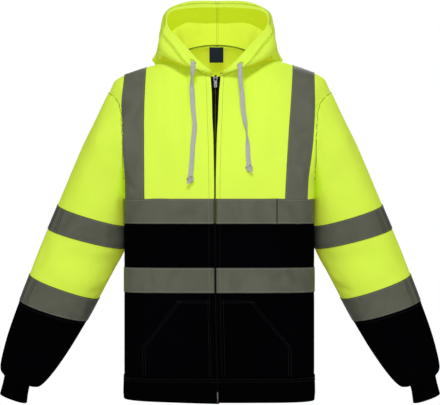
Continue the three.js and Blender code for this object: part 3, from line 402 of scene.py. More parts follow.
def edge_drop(kind, distance, half):
    """How far an edge's finish draws the outside in, at a distance from the edge."""
    if kind == "join":
        return np.zeros_like(distance)
    t = np.clip(1 - distance / EDGE_REACH[kind], 0, 1)
    if kind == "fold":
        return half * FOLD_ROUND * (1 - np.sqrt(np.clip(1 - t * t, 0, 1)))
    return EDGE_DEPTH[kind] * (t if kind == "soft" else t**2)


def stops_with_edges(low, high, spacing_low, spacing_high, kinds):
    """Stops through whole rows, with extra ones close to each finished edge, and distances from both."""
    near = [low + d / spacing_low for d in EDGE_STOPS[kinds[0]]]
    far = [high - d / spacing_high for d in EDGE_STOPS[kinds[1]]]
    first, last = near[-1], far[-1]
    middle = [k for k in range(math.ceil(low), math.floor(high) + 1) if first + 0.2 < k < last - 0.2]
    found = np.array(sorted(near) + middle + sorted(far))
    return found, (found - low) * spacing_low, (high - found) * spacing_high


def spacing(field, a, b):
    """The usual difference of a field between two sets of rows and columns, never quite nothing."""
    gap = bilinear(field, *np.broadcast_arrays(*b)) - bilinear(field, *np.broadcast_arrays(*a))
    return max(0.3, float(np.median(np.abs(gap))))


def shell(surface, inner, outer, rows=None, columns=None, edges=("seam",) * 4, relief=None):
    """A closed wall over a patch. `edges` are its kinds at the low row, high row, low and high column.
    `relief(u, v)` moves its outside out and its inside in, as ribs do. The faces of the outside come
    first and then as many of the inside, and that number is the last thing returned."""
    rows = rows or (0, surface.size()[0])
    whole = surface.closed and columns is None
    columns = columns or (0, surface.size()[1])
    some_c, some_r = np.linspace(*columns, 9), np.linspace(*rows, 9)
    v_near = [spacing(surface.v, (at, some_c), (at + 1, some_c)) for at in (rows[0], rows[1] - 1)]
    u_near = [spacing(surface.u, (some_r, at), (some_r, at + 1)) for at in (columns[0], columns[1] - 1)]
    r, r_low, r_high = stops_with_edges(*rows, *v_near, edges[:2])
    c, c_low, c_high = stops_with_edges(*columns, *u_near, ("join", "join") if whole else edges[2:])
    if whole:
        c, c_low, c_high = c[:-1], c_low[:-1], c_high[:-1]
    half = (outer - inner) / 2
    drops = [edge_drop(edges[0], r_low, half)[:, None], edge_drop(edges[1], r_high, half)[:, None]]
    if not whole:
        drops += [edge_drop(edges[2], c_low, half)[None], edge_drop(edges[3], c_high, half)[None]]
    drop = np.max(np.broadcast_arrays(*drops), axis=0)
    rounds = [d for d, kind in zip(drops, edges) if kind == "fold"]
    lift = np.max(np.broadcast_arrays(*rounds, np.zeros_like(drop)), axis=0)
    grid_r, grid_c = np.meshgrid(r, c, indexing="ij")
    u, v = bilinear(surface.u, grid_r, grid_c), bilinear(surface.v, grid_r, grid_c)
    rib = relief(u, v) if relief else np.zeros_like(u)
    outside = surface.at(grid_r, grid_c, outer - drop + rib)
    inside = surface.at(grid_r, grid_c, inner + lift - rib)
    high, wide = grid_r.shape
    index = np.arange(2 * high * wide).reshape(2, high, wide)
    if whole:
        index = np.concatenate([index, index[:, :, :1]], axis=2)
    o, i = index
    quads = [np.stack([o[:-1, :-1], o[:-1, 1:], o[1:, 1:], o[1:, :-1]], -1),
             np.stack([i[:-1, :-1], i[1:, :-1], i[1:, 1:], i[:-1, 1:]], -1),
             np.stack([i[0, :-1], i[0, 1:], o[0, 1:], o[0, :-1]], -1),
             np.stack([o[-1, :-1], o[-1, 1:], i[-1, 1:], i[-1, :-1]], -1)]
    if not whole:
        quads += [np.stack([o[:-1, 0], o[1:, 0], i[1:, 0], i[:-1, 0]], -1),
                  np.stack([i[:-1, -1], i[1:, -1], o[1:, -1], o[:-1, -1]], -1)]
    faces = np.concatenate([q.reshape(-1, 4) for q in quads])
    if surface.flip:
        faces = faces[:, ::-1]
    points = np.concatenate([outside.reshape(-1, 3), inside.reshape(-1, 3)])
    uv = np.concatenate([np.stack([u, v], -1).reshape(-1, 2)] * 2)
    return points, faces, uv, quads[0][..., 0].size


def new_object(name, data):
    """An object of the scene that holds the data."""
    obj = bpy.data.objects.new(name, data)
    bpy.context.scene.collection.objects.link(obj)
    return obj


def new_mesh(name, points, faces, uv=None, sharp=48):
    """A smooth-shaded mesh object from points in mm, with its cloth lengths as a UV map in metres."""
    points = np.asarray(points, float) * MM
    mesh = bpy.data.meshes.new(name)
    mesh.from_pydata(points.tolist(), [], [list(map(int, f)) for f in faces])
    if uv is not None:
        layer = mesh.uv_layers.new(name="cloth")
        loops = np.zeros(len(mesh.loops), int)
        mesh.loops.foreach_get("vertex_index", loops)
        layer.data.foreach_set("uv", (np.asarray(uv)[loops] * MM).ravel())
    mesh.shade_smooth()
    mesh.set_sharp_from_angle(angle=math.radians(sharp))
    return new_object(name, mesh)


# ---- body panels
LOWER, (_, _, POCKET_ROW, WAIST_LOW, WAIST_HIGH, _) = stops_between(
    HEM_SEAM_Z, POCKET_CORNER, POCKET_TOP, *WAIST_TAPE, CHEST_TAPE[0])
HEM, _ = stops_between(HEM_Z, HEM_SEAM_Z)
CHEST, (_, CHEST_ROW, _) = stops_between(*CHEST_TAPE, ARMPIT_Z)
UPPER = np.concatenate([CHEST, ARMPIT_Z * (1 - np.linspace(0, 1, 65)[1:])])
UPPER[-1] = 0.0
PLACKET = {"left": 12.0, "right": 9.5}      # from the zip's line to the stitches beside it
EASE_ROUNDS = 110


def body_fold(points, face, side_mask):
    """How far the folds and sewn lines move the body's surface, at each of its points."""
    flat = points[..., [0, 2]]
    out = fold_field(flat, FRONT_FOLDS if face is FRONT else BACK_FOLDS) * side_mask
    x, z = points[..., 0], points[..., 2]
    run = x + 0.35 * points[..., 1]
    for level, strength in ((HEM_SEAM_Z, 0.8), (CHEST_TAPE[0], 0.45), (CHEST_TAPE[1], 0.4),
                            (WAIST_TAPE[0], 0.4), (WAIST_TAPE[1], 0.4)):
        out = out + seam_pucker(z - level, run + level, strength)
    if face is FRONT:
        from_zip = x - centre_x(z)
        for side in ("left", "right"):
            gap = np.abs(from_zip)
            own = from_zip < 0 if side == "left" else from_zip >= 0
            width = PLACKET[side]
            ridge = 0.9 * (1 - smooth(gap, width - 3, width + 2))
            ridge = ridge - 0.8 * np.exp(-((gap - width) / 2.8) ** 2)
            ridge = ridge + seam_pucker(gap - width, z, 0.3, reach=5)
            out = out + np.where(own, ridge, 0)
    return out


def side_row(side, face, heights, columns_of):
    """The points of half a front or back, and how freely each may fold."""
    across = columns_of(side, face, heights)
    points = body_point(side, face, across, heights[:, None])
    if heights is UPPER:         # eases the turn where the body's wall runs out into the armhole
        rows = np.arange(len(heights))
        ease = smooth(rows, 2, 12) * (1 - smooth(rows, CHEST_ROW + 34, CHEST_ROW + 52))
        ease = ease[:, None] * smooth(across, 0.35, 0.65) * (1 - smooth(across, 0.93, 1.0))
        ease = 0.5 * ease[1:-1, :, None]
        for _ in range(EASE_ROUNDS):
            points[1:-1] += ease * ((points[:-2] + points[2:]) / 2 - points[1:-1])
    return points, 1 - smooth(across, 0.965, 1.0)


def settle_armhole(normal, at):
    rise = np.clip((at[..., 2] - ARMPIT_Z) / (TIP_Z - ARMPIT_Z), 0, 1)
    radial = np.stack([np.zeros_like(rise), at[..., 1] - SIDE_Y * (1 - rise),
                       at[..., 2] - mix(ARMPIT_Z, TIP_Z, 0.5)], -1)
    return mix(normal, unit(radial), smooth(rise, 0.02, 0.25)[..., None])


def settle_body(heights, arms, shoulder=None):
    """Turns the normals along the sewn edges, so that two walls end face to face there."""
    def settle(normal, at):
        for c in arms:
            above = heights > ARMPIT_Z
            normal[above, c] = settle_armhole(normal[above, c], at[above, c])
            normal[~above, c, 1] = 0
        if shoulder is not None:
            normal[-1, shoulder, 1] = 0
        return normal
    return settle


def armhole_draw(points, column):
    """The panel drawn in along its armhole, in small puckers that run out from the seam."""
    edge = points[:, column][:, None]
    away = np.linalg.norm(points - edge, axis=-1)
    drawn = seam_pucker(away, points[..., 2] - edge[..., 0], 2.4, reach=4.5)
    return drawn * smooth(edge[..., 2], ARMPIT_Z, ARMPIT_Z + 40)


def front_panel(side, heights, columns_of):
    points, mask = side_row(side, FRONT, heights, columns_of)
    shoulder = slice(NECK_COLUMNS + 1, None) if heights is UPPER else None
    fold = body_fold(points, FRONT, mask)
    if heights is UPPER:
        fold = fold + armhole_draw(points, -1)
    return Surface(points, flip=side == "left", fold=fold, settle=settle_body(heights, [-1], shoulder))


def back_panel(heights, columns_of):
    right, right_mask = side_row("right", BACK, heights, columns_of)
    left, left_mask = side_row("left", BACK, heights, columns_of)
    points = np.concatenate([right[:, ::-1], left[:, 1:]], axis=1)
    mask = np.concatenate([right_mask[:, ::-1], left_mask[:, 1:]], axis=1)
    middle = right.shape[1] - 1
    shoulder = None
    fold = body_fold(points, BACK, mask)
    if heights is UPPER:
        shoulder = np.abs(np.arange(points.shape[1]) - middle) > NECK_COLUMNS
        fold = fold + armhole_draw(points, 0) + armhole_draw(points, -1)
    return Surface(points, fold=fold, settle=settle_body(heights, [0, -1], shoulder))


def even_columns(points, pitch):
    """The same rows, with their points spread evenly at about one pitch."""
    length = lengths_along(points, 1)
    count = int(round(length[:, -1].mean() / pitch))
    rows = []
    for row, gone in zip(points, length):
        at = np.linspace(0, gone[-1], count + 1)
        rows.append(np.stack([np.interp(at, gone, row[:, k]) for k in range(3)], -1))
    return np.array(rows)


HEM_RIB, CUFF_RIB = 3.6, 3.0     # pitch of the ribs
RIB_STEPS = 4                    # points to a rib
HEM_ROUND = 1130                 # about how long the hem band is
HEM_RISE = {"left": (0, 5.5), "right": (2, 2)}       # how much higher it hangs at the zip and the side


def hem_surface():
    """The hem band's surface, all the way round from one side of the zip to the other."""
    rows = {}
    for side in ("left", "right"):
        for face in (FRONT, BACK):
            points, _ = side_row(side, face, HEM, lower_columns)
            low = (HEM_SEAM_Z - HEM) / (HEM_SEAM_Z - HEM_Z)
            middle = HEM_RISE[side if face is FRONT else "right"][0]
            points[..., 2] += low[:, None] * mix(middle, HEM_RISE[side][1], lower_columns(side, face, HEM))
            rows[side, face["sign"]] = points
    ring = np.concatenate([rows["right", -1], rows["right", 1][:, ::-1][:, 1:],
                           rows["left", 1][:, 1:], rows["left", -1][:, ::-1][:, 1:]], axis=1)
    ring = even_columns(ring, HEM_RIB / RIB_STEPS)
    run = np.linspace(0, 1, ring.shape[1])[None] * HEM_ROUND
    out = seam_pucker(ring[..., 2] - HEM_SEAM_Z, run, 0.8)
    roll = -1.6 * smooth(HEM_SEAM_Z - ring[..., 2], 34, 54)      # the band draws in towards its lower edge
    wave = 0.9 * np.sin(run / 61) * np.sin(run / 23 + 1) * smooth(HEM_SEAM_Z - ring[..., 2], 4, 40)
    return Surface(ring, fold=out + roll + wave)


# ---- sleeves
# Outer and inner ends of each section from the front, half depth, depth of the middle, droop of the front.
SLEEVE = np.array((
    (258.5, -124, 193, -268, 76, 3, 4), (286, -180, 191.5, -290, 72, 10, 6),
    (333.5, -292, 190, -334, 66, 20, 8), (354, -340, 194, -381, 64, 24, 8),
    (374.3, -388, 222, -433, 60, 28, 8), (392.6, -435, 249, -484, 55, 32, 8),
    (413, -488, 274, -530, 53, 34, 8), (438, -558, 314, -596, 49, 38, 6),
    (452.5, -614, 350, -646, 44, 40, 4), (453, -634, 374, -668, 36, 40, 3),
    (446, -647, 393, -667, 27, 40, 2), (455, -683.5, 400, -702.5, 26, 42, 2),
), float)
SLEEVE_POWER = 2.2
SLEEVE_ROUND = 380               # about how far it is round the sleeve
BODY_CLEARANCE = 2.6
RING_AROUND = 120
BAND_TOP, BAND_LOW, CUFF_AT, LAST_RING = (3, 4), (6, 7), 11, 12      # rings that pieces start and end at
SLEEVE_SCALE = (400.0, 55.0)     # mm for one turn round, and from one ring of the table to the next


def clear_of_body(side, at):
    """Moves a sleeve's points out until they clear the body's side."""
    for face, mine in ((FRONT, at[..., 1] < SIDE_Y), (BACK, at[..., 1] >= SIDE_Y)):
        depth = np.clip(np.abs(at[..., 1] - SIDE_Y) / face["depth"], 0, 1)
        centre = centre_x(at[..., 2])
        least = (centre + (SIDE_X[side] - centre) * (1 - depth ** face["power"]) ** (1 / face["power"])
                 + SIGN[side] * BODY_CLEARANCE)
        low = mine & (at[..., 2] <= ARMPIT_Z + 20)
        x = at[..., 0]
        kept = np.minimum(x, least) if side == "left" else np.maximum(x, least)
        at[..., 0] = np.where(low, kept, x)
    return at


def sleeve_rings(side, around):
    """The armhole and the table's sections, as rings of points from the outer edge over the front."""
    sign = SIGN[side]
    turn = np.linspace(0, 2 * math.pi, around, endpoint=False)
    half = np.where(turn <= math.pi, turn, 2 * math.pi - turn)
    hole = np.where((turn <= math.pi)[:, None], armhole_point(side, FRONT, (math.pi - half) / 2),
                    armhole_point(side, BACK, (math.pi - half) / 2))
    hole[:, 0] += sign * 0.5
    out, ahead = signed_power(np.cos(turn), SLEEVE_POWER), signed_power(np.sin(turn), SLEEVE_POWER)
    rings = [hole]
    for out_x, out_z, in_x, in_z, deep, mid, drop in SLEEVE:
        part = (1 + out) / 2
        rings.append(clear_of_body(side, np.stack([
            mix(in_x, out_x, part) * sign, mid - deep * ahead, mix(in_z, out_z, part) - drop * ahead], -1)))
    return np.array(rings)


def sleeve_surface(side, first=0, last=LAST_RING, around=RING_AROUND, step=STEP, fold=True):
    """A sleeve between two rings of the table, and the row that each ring falls on."""
    rings = sleeve_rings(side, around)
    places, index = [float(first)], {first: 0}
    for k in range(first, last):
        length = np.linalg.norm(rings[k + 1] - rings[k], axis=-1).mean()
        count = max(2, round(length / step))
        places += list(k + np.linspace(0, 1, count + 1)[1:])
        index[k + 1] = len(places) - 1
    places = np.array(places)
    points = clear_of_body(side, along_table((np.arange(len(rings)), rings), places))
    move = np.zeros(points.shape[:2])
    if fold:
        turn = np.arange(around) / around
        shift = 0.0 if side == "left" else 0.012
        flat = np.stack(np.broadcast_arrays(turn[None] + shift, places[:, None] + 6 * shift), -1)
        move = fold_field(flat, SLEEVE_FOLDS, 1.0 if side == "left" else 0.9, SLEEVE_SCALE)
        against = smooth(np.abs(flat[..., 0] - 0.5), 0.10, 0.17)     # kept off the side of the body
        calm = np.where(places[:, None] < BAND_TOP[1], against, 1)
        move = move * (smooth(places, 0.05, 0.45)[:, None] * calm)
        run = turn[None] * SLEEVE_ROUND
        for ring, strength in ((0, 3.0), (BAND_TOP[0], 0.35), (BAND_TOP[1], 0.35), (BAND_LOW[0], 0.35),
                               (BAND_LOW[1], 0.5)):
            move = move + seam_pucker((places[:, None] - ring) * SLEEVE_SCALE[1], run, strength)
        close = np.exp(-np.clip(CUFF_AT - places, 0, None) / 0.55)[:, None]
        waves = np.sin(2 * math.pi * turn * 13 + 0.6) + 0.7 * np.sin(2 * math.pi * turn * 21 + 2)
        gather = 0.75 * close * waves * smooth(CUFF_AT - places, 0.0, 0.12)[:, None]
        move = move + np.where(places[:, None] <= CUFF_AT, gather, 0)

    def settle(normal, at):
        if first == 0:
            normal[0] = settle_armhole(normal[0], at[0])
        return normal
    return Surface(points, closed=True, flip=side == "left", fold=move, settle=settle), index


# ---- hood
# Sections of a half run from the centre back (0) to the zip (1). Out, y, z of five points of each.
HOOD_PLACES = (0, 0.12, 0.25, 0.4, 0.55, 0.7, 0.85, 1)
HOOD = {
    "ridge": ((0, 92, 85), (40, 84, 84), (74, 60, 79), (90, 14, 58), (76, -34, 32), (56, -67, 8),
              (37, -86, -20), (10, -90, -32)),
    "fold": ((0, 134, -42), (66, 130, -30), (114, 92, -8), (132.5, 22, 3), (106, -40, 0), (78, -76, -10),
             (46, -91, -21), (11, -92, -31)),
    "back": ((0, 184, 34), (84, 165, 36), (119, 105, 40), (122.5, 25, 32), (118, -42, 26), (86, -80, 2),
             (50, -94, -14), (12, -95, -30)),
    "crown": ((0, 140, 136), (64.5, 125, 133.3), (109, 84, 111), (106.5, 22, 80), (112, -36, 52),
              (82, -74, 22), (48, -92, -5), (12.5, -98, -28)),
    "rim": ((0, 85, 121), (46, 76, 119), (87, 52, 112), (105, 15, 95), (98, -25, 68), (72, -62, 38),
            (43, -87, 4), (13, -101, -26)),
}
HOOD_X = -5.5
HOOD_HEM = (23.0, 30.0)          # width of the hem round the face, and near the zip
HOOD_GAP, NECK_SEAM = 0.4, 1.2
HOOD_ROWS, HOOD_HEM_ROWS, HOOD_COLUMNS = 100, 9, 66
HOOD_SCALE = (270.0, 470.0)      # mm from the centre back to the zip, and from the neck up to the rim
HOOD_ROUND, HOOD_UP = 300, 430   # the same, along its hem seam


def centripetal(points, stops):
    """A smooth curve through points, which doesn't overshoot where they are close, and its length. It is
    taken at so many even stops, or at an array of lengths."""
    p = np.concatenate([[2 * points[0] - points[1]], points, [2 * points[-1] - points[-2]]])
    gap = np.maximum(np.linalg.norm(np.diff(p, axis=0), axis=-1) ** 0.5, 1e-4)
    t = np.linspace(0, 1, 60)[:, None]
    line = []
    for k in range(1, len(p) - 2):
        a, b, c, d = p[k - 1:k + 3]
        g0, g1, g2 = gap[k - 1:k + 2]
        low = ((b - a) / g0 - (c - a) / (g0 + g1) + (c - b) / g1) * g1
        high = ((c - b) / g1 - (d - b) / (g1 + g2) + (d - c) / g2) * g1
        line.append(b + low * t + (3 * (c - b) - 2 * low - high) * t**2 + (2 * (b - c) + low + high) * t**3)
    line = np.concatenate(line)
    gone = lengths_along(line)
    at = np.asarray(stops, float) if np.ndim(stops) else np.linspace(0, gone[-1], stops)
    return np.stack([np.interp(at, gone, line[:, k]) for k in range(3)], -1), gone[-1]


def hood_surface(side):
    """Half of the hood, from the neck's edge up, over and forward to the rim, with its hem's rows apart."""
    sign = SIGN[side]
    last = math.acos(float(along_table(ZIP_GAP, FRONT["neck_z"])) / 2 / NECK_HALF)
    sections = []
    for turn in mix(-math.pi / 2, last, np.linspace(0, 1, HOOD_COLUMNS + 1)):
        place = (turn + math.pi / 2) / (last + math.pi / 2)
        face = FRONT if turn >= 0 else BACK
        ahead = abs(math.sin(turn))
        neck = [NECK_X + sign * NECK_HALF * math.cos(turn), face["neck_y"] * ahead,
                NECK_Z + (face["neck_z"] - NECK_Z) * ahead ** face["bend"] + NECK_SEAM]
        if place == 0:
            neck[0] = HOOD_X
        points = [neck] + [along_table((HOOD_PLACES, HOOD[name]), place) * (sign, 1, 1) + (HOOD_X, 0, 0)
                           for name in ("ridge", "fold", "back", "crown", "rim")]
        _, length = centripetal(np.array(points), 2)
        hem = min(mix(*HOOD_HEM, smooth(place, 0.56, 0.78)), length / 2)
        at = np.concatenate([np.linspace(0, length - hem - HOOD_GAP, HOOD_ROWS + 1),
                             np.linspace(length - hem, length, HOOD_HEM_ROWS + 1)])
        sections.append(centripetal(np.array(points), at)[0])
    points = np.array(sections).transpose(1, 0, 2)
    part = np.linspace(0, 1, points.shape[0])[:, None]
    place = np.linspace(0, 1, HOOD_COLUMNS + 1)[None]
    shift = 0.0 if side == "left" else 0.02
    flat = np.stack(np.broadcast_arrays(place + shift, part - shift), -1)
    calm = smooth(part, 0.0, 0.06) * (1 - smooth(place, 0.72, 0.92)) * smooth(place, 0.0, 0.05)
    move = fold_field(flat, HOOD_FOLDS, 1.0, HOOD_SCALE) * calm
    seam = HOOD_ROWS / (points.shape[0] - 1)
    drawn = seam_pucker((part - seam) * HOOD_UP, place * HOOD_ROUND, 2.2, reach=3.6)
    move = move + drawn * (1 - smooth(place, 0.94, 1))
    move = move - 0.9 * np.exp(-((place * HOOD_SCALE[0] - 1.0) / 2.2) ** 2) * smooth(part, 0.0, 0.03)

    def settle(normal, at):
        normal[:, 0, 0] = 0
        joined = unit(normal[HOOD_ROWS] + normal[HOOD_ROWS + 1])
        normal[HOOD_ROWS] = normal[HOOD_ROWS + 1] = joined
        return normal
    return Surface(points, flip=side == "right", fold=move, settle=settle)


upper_front = {side: front_panel(side, UPPER, upper_columns) for side in SIGN}
lower_front = {side: front_panel(side, LOWER, lower_columns) for side in SIGN}
upper_back = back_panel(UPPER, upper_columns)
lower_back = back_panel(LOWER, lower_columns)
hem = hem_surface()
sleeve = {side: sleeve_surface(side) for side in SIGN}
hood = {side: hood_surface(side) for side in SIGN}


def shoulder_strip(side):
    """One strip up the front, over the shoulder seam and down the back, under the shoulder tape."""
    middle = upper_back.size()[1] // 2
    columns = TAPE_AT + np.arange(TAPE_COLUMNS + 1)
    back_columns = middle - columns if side == "right" else middle + columns
    front = upper_front[side].points[CHEST_ROW:, columns]
    back = upper_back.points[CHEST_ROW:, back_columns]
    return Surface(np.concatenate([front, back[::-1][1:]]), flip=side == "left")


# ---- materials
def node(tree, kind, inputs=None, **settings):
    """A shader or geometry node. Each input is a value, or a socket that is linked to it."""
    made = tree.nodes.new(kind)
    for key, value in settings.items():
        setattr(made, key, value)
    for key, value in (inputs or {}).items():
        socket = made.inputs[key]
        if isinstance(value, bpy.types.NodeSocket):
            tree.links.new(value, socket)
        else:
            socket.default_value = value
    return made


WAVE_UNIT = 2 * math.pi / 20     # length of one band of Blender's wave texture at scale 1


class Finish:
    """A material with the shader's constant values set on its own sockets."""

    def __init__(self, name, colour, roughness, space="UV", **sockets):
        self.material = bpy.data.materials.new(name)
        self.material.use_nodes = True
        self.tree = self.material.node_tree
        self.shader = self.tree.nodes["Principled BSDF"]
        self.colour = colour
        self.shader.inputs["Base Color"].default_value = (*colour, 1)
        self.shader.inputs["Roughness"].default_value = roughness
        for key, value in sockets.items():
            self.shader.inputs[key.replace("_", " ")].default_value = value
        where = node(self.tree, "ShaderNodeTexCoord")
        self.place = where.outputs[space]
        self.solid = where.outputs["Object"]
        self.height = None

    def noise(self, scale, detail=2.0, solid=True, distortion=0.0):
        return node(self.tree, "ShaderNodeTexNoise", {
            "Vector": self.solid if solid else self.place, "Scale": scale, "Detail": detail,
            "Distortion": distortion}).outputs["Fac"]

    def bands(self, pitch, direction="X", distortion=0.0, solid=False):
        return node(self.tree, "ShaderNodeTexWave", {
            "Vector": self.solid if solid else self.place, "Scale": WAVE_UNIT / pitch,
            "Distortion": distortion, "Detail": 1.0, "Detail Scale": 1.0},
            wave_type="BANDS", bands_direction=direction).outputs["Fac"]

    def cells(self, scale):
        made = node(self.tree, "ShaderNodeTexVoronoi", {"Vector": self.solid, "Scale": scale})
        return made.outputs["Distance"]

    def math(self, operation, a, b):
        return node(self.tree, "ShaderNodeMath", {0: a, 1: b}, operation=operation).outputs[0]

    def between(self, factor, low, high):
        return node(self.tree, "ShaderNodeMapRange", {
            "Value": factor, "From Min": 0.3, "From Max": 0.7, "To Min": low, "To Max": high}).outputs[0]

    def tint(self, factor, other, low=0.0, high=1.0):
        """Mixes the colour so far towards another one, by a texture."""
        shader_colour = self.shader.inputs["Base Color"]
        first = shader_colour.links[0].from_socket if shader_colour.links else (*self.colour, 1)
        mixed = node(self.tree, "ShaderNodeMix", {
            0: self.between(factor, low, high), 6: first, 7: (*other, 1)}, data_type="RGBA")
        self.tree.links.new(mixed.outputs[2], shader_colour)
        return self

    def rough(self, factor, low, high):
        self.tree.links.new(self.between(factor, low, high), self.shader.inputs["Roughness"])
        return self

    def raised(self, height, distance, strength=1.0):
        """Adds a layer of bump, `distance` metres high."""
        made = node(self.tree, "ShaderNodeBump", {
            "Height": height, "Distance": distance, "Strength": strength})
        if self.height is not None:
            self.tree.links.new(self.height, made.inputs["Normal"])
        self.height = made.outputs["Normal"]
        self.tree.links.new(self.height, self.shader.inputs["Normal"])
        return self


def fleece(name, colour, other, glow, sheen=0.02, specular=0.03):
    made = Finish(name, colour, 0.88, Sheen_Weight=sheen, Sheen_Roughness=0.45, Sheen_Tint=(*other, 1),
                  Specular_IOR_Level=specular, Emission_Color=(*glow, 1), Emission_Strength=1.0)
    wales = made.bands(0.0013, "X", 0.6)
    rows = made.bands(0.0009, "Y", 0.8)
    made.tint(made.noise(5.5, 3.0), other, 0.0, 0.55)
    made.tint(made.noise(420.0, 2.0), other, 0.0, 0.35)
    made.rough(made.noise(160.0, 2.0), 0.80, 0.97)
    made.raised(made.math("MULTIPLY", wales, rows), 0.00012, 0.7)
    made.raised(made.noise(900.0, 3.0), 0.00018, 0.6)
    made.raised(made.noise(60.0, 2.0), 0.0006, 0.25)
    return made.material


# The yellow is fluorescent. Its emission is a painted glow, the same under any light, that lifts its shade.
# The insides of the hood and back get a darker copy with a stronger glow, painted shade and painted light,
# and the hood's outside where it is turned down in front gets a darker copy, a painted shade.
YELLOW = fleece("yellow_fleece", (0.575, 0.825, 0.086), (0.505, 0.755, 0.064), (0.155, 0.148, 0.003))
YELLOW_INSIDE_PAINTED_SHADE_AND_LIGHT = fleece("yellow_fleece_inside_painted_shade_and_light", (0.42, 0.62, 0.050), (0.36, 0.55, 0.040),
                       (0.325, 0.305, 0.010))
YELLOW_SHADED = fleece("yellow_fleece_shaded", (0.52, 0.60, 0.030), (0.46, 0.52, 0.024),
                       (0.155, 0.132, 0.002))
JET = (0.0006, 0.0006, 0.0010)
BLACK = fleece("black_fleece", JET, (0.0013, 0.0013, 0.0020), (0.0, 0.0, 0.0), sheen=0.0, specular=0.005)

rib_finish = Finish("black_rib", JET, 0.92, Specular_IOR_Level=0.005, Sheen_Weight=0.0, Sheen_Roughness=0.5)
rib_finish.tint(rib_finish.noise(300.0), (0.0014, 0.0014, 0.0021), 0.0, 0.6)
rib_finish.raised(rib_finish.bands(0.0011, "Y", 0.5), 0.0001, 0.6)
rib_finish.raised(rib_finish.noise(1100.0, 2.0), 0.00014, 0.6)
BLACK_RIB = rib_finish.material


def reflective(name, shade):
    def grey(*colour):
        return tuple(x * shade for x in colour)
    made = Finish(name, grey(0.125, 0.131, 0.096), 0.5, Specular_IOR_Level=0.12)
    made.tint(made.noise(9.0, 3.0), grey(0.138, 0.144, 0.108), 0.0, 0.7)
    made.tint(made.noise(10.0, 2.0, distortion=2.0), grey(0.080, 0.085, 0.062), -0.3, 0.8)
    made.tint(made.cells(1700.0), grey(0.090, 0.096, 0.070), 0.0, 0.5)
    made.tint(made.bands(0.0019, "DIAGONAL", 0.2), grey(0.130, 0.137, 0.103), 0.0, 0.45)
    made.rough(made.noise(35.0, 3.0), 0.40, 0.60)
    made.raised(made.cells(1700.0), 0.00006, 0.5)
    made.raised(made.bands(0.0019, "DIAGONAL", 0.2), 0.00003, 0.4)
    made.raised(made.noise(26.0, 3.0), 0.0016, 0.4)
    return made.material


# The tapes that run across get a darker copy of the tape: a painted shade.
REFLECTIVE = reflective("reflective_tape", 1.0)
REFLECTIVE_ACROSS_PAINTED_SHADE = reflective("reflective_tape_across_painted_shade", 0.90)

zip_finish = Finish("zip_fabric", (0.0025, 0.0025, 0.003), 0.8, Specular_IOR_Level=0.04)
zip_finish.tint(zip_finish.bands(0.0008, "Y"), (0.006, 0.006, 0.007), 0.0, 0.7)
zip_finish.raised(zip_finish.bands(0.0008, "Y"), 0.0001, 0.8)
zip_finish.raised(zip_finish.bands(0.0013, "X"), 0.00008, 0.6)
ZIP_FABRIC = zip_finish.material

teeth_finish = Finish("zip_teeth", (0.0015, 0.0015, 0.002), 0.5, space="Object", Specular_IOR_Level=0.06)
teeth_finish.rough(teeth_finish.noise(400.0), 0.3, 0.5)
ZIP_TEETH = teeth_finish.material

metal_finish = Finish("zip_metal", (0.045, 0.047, 0.050), 0.38, space="Object", Metallic=1.0)
metal_finish.tint(metal_finish.noise(300.0, 3.0), (0.022, 0.023, 0.026), 0.0, 0.8)
metal_finish.rough(metal_finish.noise(500.0, 3.0), 0.22, 0.46)
metal_finish.raised(metal_finish.noise(900.0, 2.0), 0.00004, 0.4)
ZIP_METAL = metal_finish.material

cord_finish = Finish("cord_cotton", (0.43, 0.43, 0.41), 0.85, Sheen_Weight=0.03, Sheen_Roughness=0.5,
                     Specular_IOR_Level=0.06)
cord_finish.tint(cord_finish.noise(220.0, 3.0), (0.33, 0.33, 0.31), 0.0, 0.8)
cord_finish.tint(cord_finish.noise(1500.0, 2.0), (0.54, 0.54, 0.52), 0.0, 0.5)
cord_finish.raised(cord_finish.noise(1600.0, 3.0), 0.00012, 0.8)
CORD_COTTON = cord_finish.material

label_finish = Finish("label_satin", (0.008, 0.012, 0.030), 0.45, Specular_IOR_Level=0.12)
label_finish.tint(label_finish.bands(0.0006, "Y"), (0.013, 0.018, 0.040), 0.0, 0.8)
label_finish.raised(label_finish.bands(0.0006, "Y"), 0.00005, 0.6)
label_finish.raised(label_finish.bands(0.0007, "X"), 0.00004, 0.5)
LABEL_SATIN = label_finish.material


def thread(name, colour):
    made = Finish(name, colour, 0.6, space="Object", Specular_IOR_Level=0.25)
    made.tint(made.noise(900.0), tuple(0.75 * x for x in colour), 0.0, 0.8)
    made.raised(made.noise(2200.0, 2.0), 0.00005, 0.6)
    return made.material


# Sewing thread, and the strip over the neck seam; the dark thread also paints shade beside the zip.
YELLOW_THREAD = thread("yellow_thread", (0.40, 0.52, 0.030))
BLACK_THREAD = thread("black_thread", (0.0035, 0.0035, 0.0045))
DARK_THREAD_AND_PAINTED_SHADE = thread("dark_thread_and_painted_shade", (0.020, 0.021, 0.017))
SEAM_THREAD = thread("seam_thread", (0.23, 0.29, 0.017))
BINDING = thread("neck_binding", (0.26, 0.31, 0.020))
GREY_THREAD = thread("grey_thread", (0.26, 0.27, 0.21))


# ---- pieces
made_of = {}                     # each cloth piece: its surface, rows and columns, for its cut


def dress(obj, material, body="garment", replaced=()):
    """Gives an object its material, its body and the CAD nodes that it stands in for."""
    if material is not None:
        obj.data.materials.clear()
        obj.data.materials.append(material)
    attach(obj, body)
    if replaced:
        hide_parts(*replaced)
    return obj


